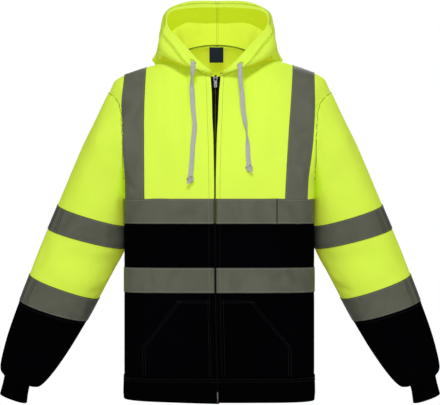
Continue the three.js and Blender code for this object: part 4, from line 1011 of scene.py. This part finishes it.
def cloth(name, surface, walls, material, rows=None, columns=None, edges=("seam",) * 4, relief=None,
          inside=None, below=None):
    """A wall over a patch of a surface, in place of the node of its name. Its inside may have a material of
    its own, and faces of its outside that face down in front may take a painted shade."""
    points, faces, uv, skin = shell(surface, *walls, rows, columns, edges, relief)
    obj = new_mesh(f"look_{name}", points, faces, uv)
    dress(obj, material, replaced=(name,))
    which = np.zeros(len(obj.data.polygons), int)
    if inside is not None:
        obj.data.materials.append(inside)
        which[skin:2 * skin] = 1
    if below is not None:
        obj.data.materials.append(below)
        # Faces of the outside that face down in front take the painted shade.
        turned = [f.normal.z < -0.5 and f.center.y < -0.02 for f in obj.data.polygons[:skin]]
        which[:skin][turned] = 2
    obj.data.polygons.foreach_set("material_index", which)
    made_of[name] = (obj, surface, rows or (0, surface.size()[0]), columns or (0, surface.size()[1]))
    return obj


def cuff_relief(length):
    ribs = round(length / CUFF_RIB)
    return lambda u, v: CUFF_RELIEF * np.cos(2 * math.pi * ribs * u / length)


BODY_WALL = (-CLOTH, 0.0)
LAID_WALL = (LAID, LAID + TAPE)
HOOD_HEM_WALL = (-2.4, 0.4)
POCKET_COLUMN = (3, 3 + POCKET_COLUMNS)
TAPE_EDGES = ("cut",) * 4
CUFF_AROUND, CUFF_STEP = 212, 2.6                # points round a cuff, and the pitch of its rows
CUFF_RELIEF, HEM_RELIEF = 0.42, 0.45             # how far the ribs stand out

for side in SIGN:
    zip_edge = ("seam", "seam", "fold", "seam")
    cloth(f"front_upper_{side}", upper_front[side], BODY_WALL, YELLOW, edges=zip_edge)
    cloth(f"front_lower_{side}", lower_front[side], BODY_WALL, BLACK, edges=zip_edge)
    cloth(f"pocket_{side}", lower_front[side], (LAID, LAID + CLOTH), BLACK,
          rows=(0, POCKET_ROW), columns=POCKET_COLUMN, edges=("seam", "fold", "fold", "fold"))
    cloth(f"tape_chest_front_{side}", upper_front[side], LAID_WALL, REFLECTIVE_ACROSS_PAINTED_SHADE,
          rows=(0, CHEST_ROW), edges=TAPE_EDGES)
    cloth(f"tape_waist_front_{side}", lower_front[side], LAID_WALL, REFLECTIVE_ACROSS_PAINTED_SHADE,
          rows=(WAIST_LOW, WAIST_HIGH), edges=TAPE_EDGES)
    cloth(f"tape_shoulder_{side}", shoulder_strip(side), LAID_WALL, REFLECTIVE,
          edges=TAPE_EDGES)
    grid, ring = sleeve[side]
    cloth(f"sleeve_upper_{side}", grid, BODY_WALL, YELLOW, rows=(0, ring[BAND_LOW[1]]))
    cloth(f"sleeve_lower_{side}", grid, BODY_WALL, BLACK,
          rows=(ring[BAND_LOW[1]], ring[CUFF_AT]))
    for band, rings in (("top", BAND_TOP), ("low", BAND_LOW)):
        cloth(f"tape_sleeve_{band}_{side}", grid, LAID_WALL, REFLECTIVE_ACROSS_PAINTED_SHADE,
              rows=(ring[rings[0]], ring[rings[1]]), edges=TAPE_EDGES)
    cuff, _ = sleeve_surface(side, CUFF_AT, around=CUFF_AROUND, step=CUFF_STEP, fold=False)
    cloth(f"cuff_{side}", cuff, (-RIB, 0.0), BLACK_RIB, edges=("seam", "fold", "join", "join"),
          relief=cuff_relief(float(cuff.u[:, -1].mean())))
    cloth(f"hood_{side}", hood[side], BODY_WALL, YELLOW, rows=(0, HOOD_ROWS),
          edges=("soft", "seam", "soft", "fold"), inside=YELLOW_INSIDE_PAINTED_SHADE_AND_LIGHT, below=YELLOW_SHADED)
    cloth(f"hood_hem_{side}", hood[side], HOOD_HEM_WALL, YELLOW,
          rows=(HOOD_ROWS + 1, HOOD_ROWS + 1 + HOOD_HEM_ROWS), edges=("seam", "fold", "soft", "fold"),
          inside=YELLOW_INSIDE_PAINTED_SHADE_AND_LIGHT)

cloth("back_upper", upper_back, BODY_WALL, YELLOW, edges=("seam", "soft", "seam", "seam"),
      inside=YELLOW_INSIDE_PAINTED_SHADE_AND_LIGHT)
cloth("back_lower", lower_back, BODY_WALL, BLACK)
cloth("tape_chest_back", upper_back, LAID_WALL, REFLECTIVE_ACROSS_PAINTED_SHADE,
      rows=(0, CHEST_ROW), edges=TAPE_EDGES)
cloth("tape_waist_back", lower_back, LAID_WALL, REFLECTIVE_ACROSS_PAINTED_SHADE,
      rows=(WAIST_LOW, WAIST_HIGH), edges=TAPE_EDGES)
cloth("hem_band", hem, (1 - RIB, 1.0), BLACK_RIB, edges=("fold", "seam", "fold", "fold"),
      relief=lambda u, v: HEM_RELIEF * np.cos(2 * math.pi * u / HEM_RIB))


# ---- stitches and zip teeth
def repeat_group():
    """Geometry nodes that set one small piece after another along lines."""
    tree = bpy.data.node_groups.new("repeat_along_lines", "GeometryNodeTree")
    for name, kind in (("Lines", "Geometry"), ("Piece", "Object"), ("Pitch", "Float"),
                       ("Unevenness", "Float"), ("Seed", "Int"), ("Material", "Material")):
        tree.interface.new_socket(name, in_out="INPUT", socket_type="NodeSocket" + kind)
    tree.interface.new_socket("Pieces", in_out="OUTPUT", socket_type="NodeSocketGeometry")
    given = node(tree, "NodeGroupInput").outputs
    curve = node(tree, "GeometryNodeMeshToCurve", {"Mesh": given["Lines"]}).outputs["Curve"]
    points = node(tree, "GeometryNodeCurveToPoints", {
        "Curve": curve, "Length": given["Pitch"]}, mode="LENGTH")
    turned = node(tree, "FunctionNodeAlignRotationToVector", {
        "Vector": points.outputs["Tangent"]}, axis="Z")
    least, most = (node(tree, "ShaderNodeVectorMath", {
        0: (way, way, way), 3: given["Unevenness"]}, operation="SCALE") for way in (-1, 1))
    uneven = node(tree, "FunctionNodeRandomValue", {
        0: least.outputs[0], 1: most.outputs[0], "Seed": given["Seed"]}, data_type="FLOAT_VECTOR")
    tilt = node(tree, "FunctionNodeEulerToRotation", {0: uneven.outputs[0]})
    spin = node(tree, "FunctionNodeRotateRotation", {0: turned.outputs[0], 1: tilt.outputs[0]})
    piece = node(tree, "GeometryNodeObjectInfo", {"Object": given["Piece"]}).outputs["Geometry"]
    placed = node(tree, "GeometryNodeInstanceOnPoints", {
        "Points": points.outputs["Points"], "Instance": piece, "Rotation": spin.outputs[0]})
    real = node(tree, "GeometryNodeRealizeInstances", {"Geometry": placed.outputs[0]})
    final = node(tree, "GeometryNodeSetMaterial", {
        "Geometry": real.outputs[0], "Material": given["Material"]})
    node(tree, "NodeGroupOutput", {"Pieces": final.outputs[0]})
    return tree


REPEAT = repeat_group()


def repeat_along(name, lines, piece, pitch, material, uneven=0.0, seed=7, replaced=()):
    """Copies of a small piece along lines of points in mm, as one plain mesh."""
    points, edges = [], []
    for line in lines:
        start = len(points)
        points += [tuple(float(x) * MM for x in p) for p in line]
        edges += [(start + k, start + k + 1) for k in range(len(line) - 1)]
    source = new_object(name + "_lines", bpy.data.meshes.new(name + "_lines"))
    source.data.from_pydata(points, edges, [])
    modifier = source.modifiers.new("repeat", "NODES")
    modifier.node_group = REPEAT
    values = {"Piece": piece, "Pitch": pitch * MM, "Unevenness": uneven, "Seed": seed, "Material": material}
    for item in REPEAT.interface.items_tree:
        if item.name in values:
            modifier[item.identifier] = values[item.name]
    bpy.context.view_layer.update()
    graph = bpy.context.evaluated_depsgraph_get()
    mesh = bpy.data.meshes.new_from_object(source.evaluated_get(graph))
    mesh.name = name
    mesh.shade_smooth()
    bpy.data.objects.remove(source)
    return dress(new_object(name, mesh), None, replaced=replaced)


def small_piece(name, points, faces):
    """A mesh, in mm, that is only copied along lines."""
    mesh = bpy.data.meshes.new(name)
    mesh.from_pydata([[x * MM for x in p] for p in points], [], faces)
    return bpy.data.objects.new(name, mesh)


def stitch_piece(name, length, thick):
    """A short thread, thick in its middle, along its own z."""
    rings = ((-0.5, 0.35), (-0.22, 1.0), (0.22, 1.0), (0.5, 0.35))
    around = [(math.cos(k * math.pi / 2), math.sin(k * math.pi / 2)) for k in range(4)]
    points = [(thick / 2 * r * x, thick / 2 * r * y, length * z) for z, r in rings for x, y in around]
    faces = [(4 * a + k, 4 * a + (k + 1) % 4, 4 * a + 4 + (k + 1) % 4, 4 * a + 4 + k)
             for a in range(3) for k in range(4)]
    return small_piece(name, points, faces + [(3, 2, 1, 0), (12, 13, 14, 15)])


STITCH = stitch_piece("stitch", 2.7, 0.9)
SHORT_STITCH = stitch_piece("short_stitch", 1.5, 0.85)
BINDING_LOOP = stitch_piece("binding_loop", 3.4, 3.2)
EDGE_LOOP = stitch_piece("edge_loop", 6.0, 0.9)
SEAM_STITCH = stitch_piece("seam_stitch", 3.2, 1.2)
STITCH_PITCH, SEAM_PITCH = 3.3, 2.4
LINE_END = 0.3                   # how far short of the cloth's edge a line stops, in rows or columns
ON_CLOTH, ON_TAPE, ON_POCKET = 0.12, LAID + TAPE + 0.1, LAID + CLOTH + 0.1


def line_on(surface, rows, columns, out, count=160):
    """A line of points over a surface, through (row, column) pairs that may be arrays."""
    rows, columns = np.broadcast_arrays(np.asarray(rows, float), np.asarray(columns, float))
    t = np.linspace(0, len(rows) - 1, count)
    k = np.arange(len(rows))
    return surface.at(np.interp(t, k, rows), np.interp(t, k, columns), np.full(count, out))


def row_line(surface, row, away, out, columns=None, count=160):
    """A line along a row, moved `away` mm up the cloth from it."""
    c0, c1 = columns or (0, surface.size()[1])
    c = np.linspace(c0 + LINE_END, c1 - LINE_END, count)
    every = np.arange(surface.size()[0] + 1.0)
    lengths = bilinear(surface.v, *np.broadcast_arrays(every[:, None], c))
    start = bilinear(surface.v, np.full(count, float(row)), c)
    rows = [np.interp(at + away, column, every) for at, column in zip(start, lengths.T)]
    return surface.at(rows, c, np.full(count, out))


def column_line(surface, column, away, out, rows, count=160):
    """A line along a column, moved `away` mm across the cloth from it."""
    r = np.linspace(rows[0] + LINE_END, rows[1] - LINE_END, count)
    every = np.arange(surface.size()[1] + 1.0)
    lengths = bilinear(surface.u, *np.broadcast_arrays(r[:, None], every))
    start = bilinear(surface.u, r, np.full(count, float(column)))
    columns = [np.interp(at + away, row, every) for at, row in zip(start, lengths)]
    return surface.at(r, columns, np.full(count, out))


IN = 2.6                         # from a tape's edge to its stitches
AT_EDGE, ON_EDGE, ON_BINDING = 0.2, ON_TAPE - 0.3, ON_TAPE - 0.35
SHORT, ROUND, LONG = 40, 240, 300        # how many points a line has


def tape_rows(surface, low, high, away=IN, out=ON_TAPE, count=160):
    """Lines inside the low and the high edge of a tape."""
    return [row_line(surface, low, away, out, count=count), row_line(surface, high, -away, out, count=count)]


yellow_lines, inner_lines, binding_lines, hem_lines = [], [], [], []
black_lines, grey_lines, seam_lines, dark_lines_and_painted_shade, edge_lines = [], [], [], [], []
for side in SIGN:
    upper, lower = upper_front[side], lower_front[side]
    strip = shoulder_strip(side)
    whole = (0, strip.size()[0])
    grey_lines += tape_rows(upper, 0, CHEST_ROW) + tape_rows(lower, WAIST_LOW, WAIST_HIGH)
    for column, inward in ((0, 1), (TAPE_COLUMNS, -1)):
        grey_lines.append(column_line(strip, column, IN * inward, ON_TAPE, whole))
        edge_lines.append(column_line(strip, column, AT_EDGE * inward, ON_EDGE, whole))
    # Beside the zip, following its line down the whole front.
    beside = PLACKET[side] - 1.5
    yellow_lines.append(column_line(upper, 0, beside, ON_CLOTH, (CHEST_ROW, upper.size()[0])))
    for rows in ((WAIST_HIGH, lower.size()[0]), (0, WAIST_LOW)):
        black_lines.append(column_line(lower, 0, beside, ON_CLOTH, rows))
    for rows, surface in (((0, CHEST_ROW), upper), ((WAIST_LOW, WAIST_HIGH), lower)):
        grey_lines.append(column_line(surface, 0, beside, ON_TAPE, rows, SHORT))
        for away in (0.5, 1.5):          # the tape's bound end beside the zip
            dark_lines_and_painted_shade.append(column_line(surface, 0, away, ON_BINDING, rows, SHORT))
    for out in (-0.3, -1.2):             # a painted shade in the slit beside the zip, sunk in the cloth's edge
        dark_lines_and_painted_shade.append(column_line(upper, 0, 0.1, out, (0, CHEST_ROW), SHORT))
    # The pocket's double lines along its outer edge and its top, and one along its inner edge.
    first, last = POCKET_COLUMN
    for away in (-2.5, -8.0):
        black_lines.append(column_line(lower, last, away, ON_POCKET, (0.5, POCKET_ROW - 0.6)))
    for away in (-2.5, -6.5):
        black_lines.append(row_line(lower, POCKET_ROW, away, ON_POCKET, POCKET_COLUMN))
    black_lines.append(column_line(lower, first, 2.5, ON_POCKET, (0, POCKET_ROW)))
    # The sleeve's tapes, the armhole seam and the seam between yellow and black.
    grid, ring = sleeve[side]
    for low, high in (BAND_TOP, BAND_LOW):
        grey_lines += tape_rows(grid, ring[low], ring[high], count=ROUND)
        edge_lines += tape_rows(grid, ring[low], ring[high], AT_EDGE, ON_EDGE, ROUND)
        for turn in (0.052, 0.066, 0.104, 0.118):          # where the band's two ends overlap
            column = grid.size()[1] * turn
            rows = (ring[low] + 0.2, ring[high] - 0.2)
            dark_lines_and_painted_shade.append(line_on(grid, rows, (column, column), ON_TAPE, SHORT))
    seam_lines.append(row_line(grid, 0, 0.3, 0.8, count=LONG))
    black_lines.append(row_line(grid, ring[BAND_LOW[1]], 5.0, ON_CLOTH, count=ROUND))
    # Both sides of the hood's hem seam, inside it, and along the neck, outside and inside.
    half = hood[side]
    yellow_lines += [row_line(half, HOOD_ROWS + 1, 3.0, 0.7, count=LONG),
                     row_line(half, HOOD_ROWS, -2.5, ON_CLOTH, count=LONG),
                     column_line(half, 0, 1.8, -2.2, (0, HOOD_ROWS), LONG),
                     row_line(upper, upper.size()[0], -3.0, ON_CLOTH, (0, NECK_COLUMNS)),
                     column_line(half, 0, 3.2, ON_CLOTH, (0, HOOD_ROWS))]
    hem_lines.append(row_line(half, HOOD_ROWS + 0.5, 0.0, -1.1, count=LONG))
    binding_lines.append(row_line(half, 0, 0.0, -1.9, count=LONG))
    inner_lines.append(row_line(half, HOOD_ROWS, -2.5, -2.3, count=LONG))
grey_lines += tape_rows(upper_back, 0, CHEST_ROW, count=LONG)
grey_lines += tape_rows(lower_back, WAIST_LOW, WAIST_HIGH, count=LONG)
black_lines += [row_line(hem, hem.size()[0], away, 1.6, count=3 * LONG) for away in (-5.0, -10.0)]
middle = upper_back.size()[1] // 2
yellow_lines.append(row_line(upper_back, upper_back.size()[0], -3.0, ON_CLOTH,
                             (middle - NECK_COLUMNS, middle + NECK_COLUMNS)))
# A join in the tape across the chest, on the wearer's left.
join = NECK_COLUMNS + round(COLLAR_COLUMNS * 0.78)
for column in (join, join + 0.3):
    dark_lines_and_painted_shade.append(line_on(upper_front["right"], (0.6, CHEST_ROW - 0.6), (column, column), ON_TAPE, SHORT))

repeat_along("stitches_yellow", yellow_lines, STITCH, STITCH_PITCH, YELLOW_THREAD, 0.07, 3)
repeat_along("stitches_inside", inner_lines, STITCH, STITCH_PITCH, SEAM_THREAD, 0.07, 6)
repeat_along("hood_hem_seam", hem_lines, SEAM_STITCH, SEAM_PITCH, YELLOW_THREAD, 0.05, 13)
repeat_along("neck_binding", binding_lines, BINDING_LOOP, 2.2, BINDING, 0.12, 11)
repeat_along("stitches_black", black_lines, STITCH, STITCH_PITCH, BLACK_THREAD, 0.07, 4)
repeat_along("stitches_armholes", seam_lines, SEAM_STITCH, SEAM_PITCH, SEAM_THREAD, 0.05, 9)
# Dark outlines along the edges of the shoulder and sleeve tapes.
repeat_along("tape_edges", edge_lines, EDGE_LOOP, 4.8, DARK_THREAD_AND_PAINTED_SHADE, 0.03, 12)
# Dark stitches, and dark pieces that paint shade in the slit beside the zip.
repeat_along("stitches_bands", dark_lines_and_painted_shade, SEAM_STITCH, 2.8, DARK_THREAD_AND_PAINTED_SHADE, 0.05, 10)
repeat_along("stitches_tape", grey_lines, STITCH, STITCH_PITCH, GREY_THREAD, 0.07, 5)


# ---- zip
ZIP_DEPTH = 3.1                  # how far the zip's tapes stand behind the front edges
ZIP_TAPE, ZIP_TAPE_HALF = 0.8, 15.0
CHAIN_HALF = 0.7                 # from the zip's middle to its tapes
PARTED = 3.2                     # how much further they stand above the slider
ZIP_HEIGHTS, _ = stops_between(HEM_Z + 8.3, ARMPIT_Z, -6.0)
SLIDER_Z = float(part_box("zip_slider")[0].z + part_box("zip_slider")[1].z) / 2 / MM


def zip_line(x, heights):
    """Points down the zip, `x` mm to the wearer's left of its middle, on the front's own surface."""
    span = np.abs(SIDE_X["right"] - centre_x(heights))
    middle = body_point("right", FRONT, 0.0, heights)
    at = body_point("right", FRONT, np.abs(x) / span, heights)
    return np.stack([middle[:, 0] + x, at[:, 1], at[:, 2]], -1)


def parted(z):
    """Above the slider the two halves of the zip stand apart."""
    return PARTED * smooth(z, SLIDER_Z + 2, SLIDER_Z + 26)


for side, sign in SIGN.items():
    apart = parted(zip_line(np.zeros(len(ZIP_HEIGHTS)), ZIP_HEIGHTS)[:, 2])
    strip = np.stack([zip_line(sign * mix(CHAIN_HALF + apart, ZIP_TAPE_HALF, t), ZIP_HEIGHTS)
                      for t in np.linspace(0, 1, 7)], axis=1)
    cloth(f"zip_tape_{side}", Surface(strip, flip=side == "left"), (-ZIP_DEPTH - ZIP_TAPE, -ZIP_DEPTH),
          ZIP_FABRIC, edges=TAPE_EDGES)

EIGHT = ((-1, -0.6), (-0.6, -1), (0.6, -1), (1, -0.6), (1, 0.6), (0.6, 1), (-0.6, 1), (-1, 0.6))
TOOTH = small_piece("tooth", [(x * 1.25, y * 1.15, z * 0.62 * (1 if abs(x) < 1 else 0.8))
                              for z in (-1, 1) for x, y in EIGHT],
                    [tuple(range(7, -1, -1)), tuple(range(8, 16))]
                    + [(k, (k + 1) % 8, 8 + (k + 1) % 8, 8 + k) for k in range(8)])
TOOTH_PITCH = 2.5
TEETH_ACROSS = 0.85              # from the zip's middle to the middle of a row of teeth
teeth = []
chain_heights = np.linspace(HEM_Z + 9, -8, 320)
for sign, start in ((-1, 0), (1, TOOTH_PITCH / 2)):
    middle = zip_line(np.zeros(len(chain_heights)), chain_heights)
    line = zip_line(sign * (TEETH_ACROSS + parted(middle[:, 2])), chain_heights)
    line[:, 1] += ZIP_DEPTH - 0.1
    line[:, 2] += start
    teeth.append(line)
teeth_object = repeat_along("zip_teeth", teeth, TOOTH, TOOTH_PITCH, ZIP_TEETH, 0.0, 1,
                            replaced=("zip_chain",))
teeth_object.data.shade_flat()


def bevelled(node_name, material, width, body="garment"):
    """A copy of a CAD node with its edges rounded over."""
    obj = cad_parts[node_name].copy()
    obj.data = obj.data.copy()
    obj.name = f"look_{node_name}"
    obj.parent = None
    obj.matrix_world = Matrix.Identity(4)
    for key in list(obj.keys()):
        del obj[key]
    bpy.context.scene.collection.objects.link(obj)
    modifier = obj.modifiers.new("bevel", "BEVEL")
    modifier.width, modifier.segments, modifier.angle_limit = width * MM, 3, math.radians(35)
    bpy.context.view_layer.update()
    mesh = bpy.data.meshes.new_from_object(obj.evaluated_get(bpy.context.evaluated_depsgraph_get()))
    obj.modifiers.clear()
    obj.data = mesh
    mesh.shade_smooth()
    mesh.set_sharp_from_angle(angle=math.radians(40))
    return dress(obj, material, body, (node_name,))


bevelled("zip_slider", ZIP_METAL, 0.45)
bevelled("zip_box", ZIP_METAL, 0.5)
bevelled("zip_pull", ZIP_METAL, 0.35, "pull_tab")


# ---- neck label
LABEL_X, LABEL_HALF, LABEL_Z = -7.5, 14.5, (3, 35)
LABEL_Y = (68.3, 65.9)           # at its foot and at its head


def label_surface():
    t, across = np.meshgrid(np.linspace(0, 1, 18), np.linspace(-1, 1, 16), indexing="ij")
    bow = 2 * (1 - across**2) + 0.5 * np.sin(3 * t + 1.2) * (1 - t)
    return Surface(np.stack([LABEL_X + LABEL_HALF * across, mix(*LABEL_Y, t) + bow, mix(*LABEL_Z, t)], -1))


label = label_surface()
cloth("neck_label", label, (0.0, 0.8), LABEL_SATIN, edges=("fold", "cut", "cut", "cut"))
repeat_along("stitches_label", [row_line(label, label.size()[0], -2.0, 0.85, count=40),
                                row_line(label, 0, 1.6, 0.85, count=40)],
             SHORT_STITCH, 1.9, BLACK_THREAD, 0.05, 6)


# ---- drawcord
CORD_WIDTH, CORD_THICK = 9.5, 3.0
CORD_ROUTE = {
    "left": ((-54, -94, -5), (-54.2, -97.4, -14), (-54.8, -98.8, -26), (-57, -99.2, -44),
             (-55.6, -100.6, -72), (-53.7, -105.8, -103), (-50.7, -112.4, -130), (-51.3, -115, -143),
             (-54.2, -120.4, -171), (-55.6, -124.6, -197), (-57.6, -128, -224), (-59, -130.6, -237)),
    "right": ((40, -95.4, -9), (40.2, -98.6, -18), (40.6, -99.8, -30), (41.1, -100.4, -42),
              (43.4, -101, -63), (46.3, -104.8, -103), (49.9, -109, -123), (52.6, -114.4, -143),
              (55.2, -120, -171), (56.2, -125, -197), (57.8, -129, -214)),
}
# Where the flat cord turns on itself: height, how much of a quarter turn, and over what length.
CORD_TWIST = {"left": ((-40, 0.75, 26), (-128, -0.35, 30)), "right": ((-60, 0.3, 30), (-150, 0.85, 44))}
KNOT_DROP = 5.6                  # from the end of the cord to the middle of its knot


def tube(name, line, frame_x, frame_y, outline, closed=False):
    """A tube round a line: the outline's points lie in each ring's own two directions. Its ends are
    capped, or it runs round into itself."""
    rings, count = len(line), outline.shape[1]
    points = line[:, None] + outline[..., :1] * frame_x[:, None] + outline[..., 1:] * frame_y[:, None]
    index = np.arange(rings * count).reshape(rings, count)
    following = np.roll(index, -1, axis=1)
    quads = np.stack([index[:-1], following[:-1], following[1:], index[1:]], -1)
    faces = list(quads.reshape(-1, 4))
    if closed:
        faces += list(np.stack([index[-1], following[-1], following[0], index[0]], -1))
    else:
        faces += [index[0][::-1], index[-1]]
    return new_mesh(name, points.reshape(-1, 3), faces, sharp=70)


def braid(along, around, girth, pitch=2.3):
    """Relief of crossed strands, whole round the cord."""
    turns = max(2, round(girth / pitch))
    along, around = 2 * math.pi * along / pitch, math.pi * turns * around
    return 0.2 * np.sin(along + around) * np.sin(along - around)


def flat_cord(side):
    """A free end of the drawcord, its middle line and its length."""
    line, length = centripetal(np.array(CORD_ROUTE[side], float), 2)
    along = np.arange(0, length, 0.6)
    line, _ = centripetal(np.array(CORD_ROUTE[side], float), along)
    tangent = unit(np.gradient(line, axis=0))
    across = unit(np.array([1.0, 0, 0]) - tangent[:, :1] * tangent)
    through = np.cross(tangent, across)
    turn = np.zeros(len(line))
    for z, part, reach in CORD_TWIST[side]:
        bump = np.exp(-((line[:, 2] - z) / (reach * 0.5)) ** 2)
        turn += part * math.pi / 2 * bump
    turn += 0.12 * np.sin(along / 17)
    c, s = np.cos(turn)[:, None], np.sin(turn)[:, None]
    x_axis, y_axis = c * across + s * through, -s * across + c * through
    sides = 44
    a = np.arange(sides) / sides
    width = CORD_WIDTH * (1 - 0.05 * np.sin(along / 23) ** 2)
    out_x = signed_power(np.cos(2 * math.pi * a), 2.6)[None] * (width / 2)[:, None]
    out_y = signed_power(np.sin(2 * math.pi * a), 2.6)[None] * CORD_THICK / 2
    relief = braid(along[:, None], a[None], 2 * (CORD_WIDTH + CORD_THICK), 2.3)
    grow = relief / np.maximum(np.hypot(out_x, out_y), 0.5)
    outline = np.stack([out_x * (1 + grow), out_y * (1 + grow)], -1)
    obj = tube(f"look_drawcord_{side}", line, x_axis, y_axis, outline)
    return obj, line, length


def oval(radius, turn, wide, deep):
    angle = 2 * math.pi * turn
    return np.stack([radius * np.cos(angle) * wide, radius * np.sin(angle) * deep], -1)


def knot(side):
    """An overhand knot drawn tight, and the short end below it."""
    end = np.array(CORD_ROUTE[side][-1], float)
    middle = end + (0, 0, -KNOT_DROP)
    t = np.linspace(0, 2 * math.pi, 150, endpoint=False)
    ring = np.stack([np.sin(t) + 2 * np.sin(2 * t), -1.25 * np.sin(3 * t),
                     np.cos(t) - 2 * np.cos(2 * t)], -1)
    ring = ring * (1.75, 1.9, 1.55) + middle
    tangent = unit(np.roll(ring, -1, axis=0) - np.roll(ring, 1, axis=0))
    x_axis = unit(np.cross(tangent, np.array([0.13, 1.0, 0.21])))
    y_axis = np.cross(tangent, x_axis)
    a = np.arange(26) / 26
    along = np.arange(len(t))[:, None] / len(t) * 60
    radius = 2.15 + 0.8 * braid(along, a[None], 15, 2.4)
    outline = oval(radius, a, 1.15, 0.9)
    loop = tube(f"look_drawcord_knot_{side}", ring, x_axis, y_axis, outline, closed=True)
    steps = np.linspace(0, 1, 18)
    tail = middle + np.stack([SIGN[side] * 5.0 * steps, -1.5 - 2.5 * steps, -1.5 - 6.5 * steps], -1)
    flare = (2.4 + 0.5 * smooth(steps, 0.5, 1))[:, None]
    b = np.arange(22) / 22
    ragged = 1 + 0.12 * np.sin(2 * math.pi * b * 7)[None] * smooth(steps, 0.55, 1)[:, None]
    outline = oval(flare * ragged, b, 1.2, 0.75)
    x_tail = np.tile([1.0, 0, 0], (len(steps), 1))
    y_tail = np.tile([0, -1.0, 0], (len(steps), 1))
    short = tube(f"look_cord_end_{side}", tail, x_tail, y_tail, outline)
    dress(loop, CORD_COTTON, replaced=(f"drawcord_knot_{side}",))
    dress(short, CORD_COTTON)
    return loop, short


SLIT_HALF = (2.6, 6.4)           # half the buttonhole's height and width
slit_lines = []
for side in SIGN:
    obj, line, length = flat_cord(side)
    dress(obj, CORD_COTTON, replaced=(f"drawcord_{side}",))
    loop, short = knot(side)
    # The buttonhole that it comes out of, stitched round.
    surface = hood[side]
    hem_points = surface.points[HOOD_ROWS + 1:]
    gap = np.linalg.norm(hem_points - line[0], axis=-1)
    r, c = np.unravel_index(np.argmin(gap), gap.shape)
    pitch_r = np.linalg.norm(hem_points[2, c] - hem_points[1, c])
    pitch_c = np.linalg.norm(hem_points[2, c + 1] - hem_points[2, c])
    t = np.linspace(0, 2 * math.pi, 48)
    slit_lines.append(surface.at(HOOD_ROWS + 1 + r + SLIT_HALF[0] * np.sin(t) / pitch_r,
                                 c + SLIT_HALF[1] * np.cos(t) / pitch_c, np.full(len(t), 0.75)))
repeat_along("stitches_buttonholes", slit_lines, SHORT_STITCH, 1.0, DARK_THREAD_AND_PAINTED_SHADE, 0.12, 8)

# ---- cloth cuts: each piece's area and flat size, worked out
for name, (obj, surface, rows, columns) in made_of.items():
    area, wide, long = surface.area(rows, columns)
    flat = (wide * MM, long * MM)
    area = min(area * MM**2, flat[0] * flat[1])

# ---- light, floor and camera
SKY, FLOOR_Z = 0.27, -1.0
world = bpy.data.worlds.new("studio")
bpy.context.scene.world = world
world.use_nodes = True
sky = world.node_tree
sky.nodes["Background"].inputs["Color"].default_value = (1, 1, 1, 1)
sky.nodes["Background"].inputs["Strength"].default_value = SKY
seen = node(sky, "ShaderNodeBackground", {"Color": (1, 1, 1, 1), "Strength": 1.0})
ray = node(sky, "ShaderNodeLightPath")
both = node(sky, "ShaderNodeMixShader", {
    0: ray.outputs["Is Camera Ray"], 1: sky.nodes["Background"].outputs[0], 2: seen.outputs[0]})
sky.links.new(both.outputs[0], sky.nodes["World Output"].inputs["Surface"])


def area_light(name, place, aim, size, power):
    data = bpy.data.lights.new(name, "AREA")
    data.shape, data.size, data.size_y, data.energy = "RECTANGLE", size[0], size[1], power
    obj = new_object(name, data)
    obj.location = place
    obj.rotation_euler = (Vector(aim) - Vector(place)).to_track_quat("-Z", "Y").to_euler()


CENTRE = (0.0, 0.0, -0.29)
area_light("key", (-0.2, -3.1, 2.6), CENTRE, (1.5, 1.1), 108)
area_light("fill", (0.6, -3.8, -0.3), CENTRE, (2.6, 2.0), 18)
area_light("low", (0.1, -2.4, -2.0), (0.0, 0.1, 0.05), (1.4, 0.9), 48)
area_light("back", (0.6, 3.2, 1.6), CENTRE, (2.4, 2.0), 90)

bpy.ops.mesh.primitive_circle_add(vertices=96, radius=3.0, fill_type="NGON", location=(0, 0, FLOOR_Z))
floor = bpy.context.object
floor.name = "floor"
floor_finish = Finish("pale_floor", (0.90, 0.90, 0.89), 0.9, space="Object", Specular_IOR_Level=0.1)
floor_finish.tint(floor_finish.noise(3.0), (0.87, 0.87, 0.86), 0.0, 0.6)
floor.data.materials.append(floor_finish.material)

CAMERA_AWAY, CAMERA_Z = 4.5, -0.288
SEEN_WIDTH = 0.902               # how much the frame takes in, at the garment
SENSOR = 36.0
camera_data = bpy.data.cameras.new("camera")
camera_data.sensor_width = SENSOR
camera_data.lens = SENSOR * CAMERA_AWAY / SEEN_WIDTH
camera = new_object("camera", camera_data)
camera.location = (0, -CAMERA_AWAY, CAMERA_Z)
camera.rotation_euler = (math.pi / 2, 0, 0)
bpy.context.scene.camera = camera
bpy.context.scene.view_settings.view_transform = "Standard"
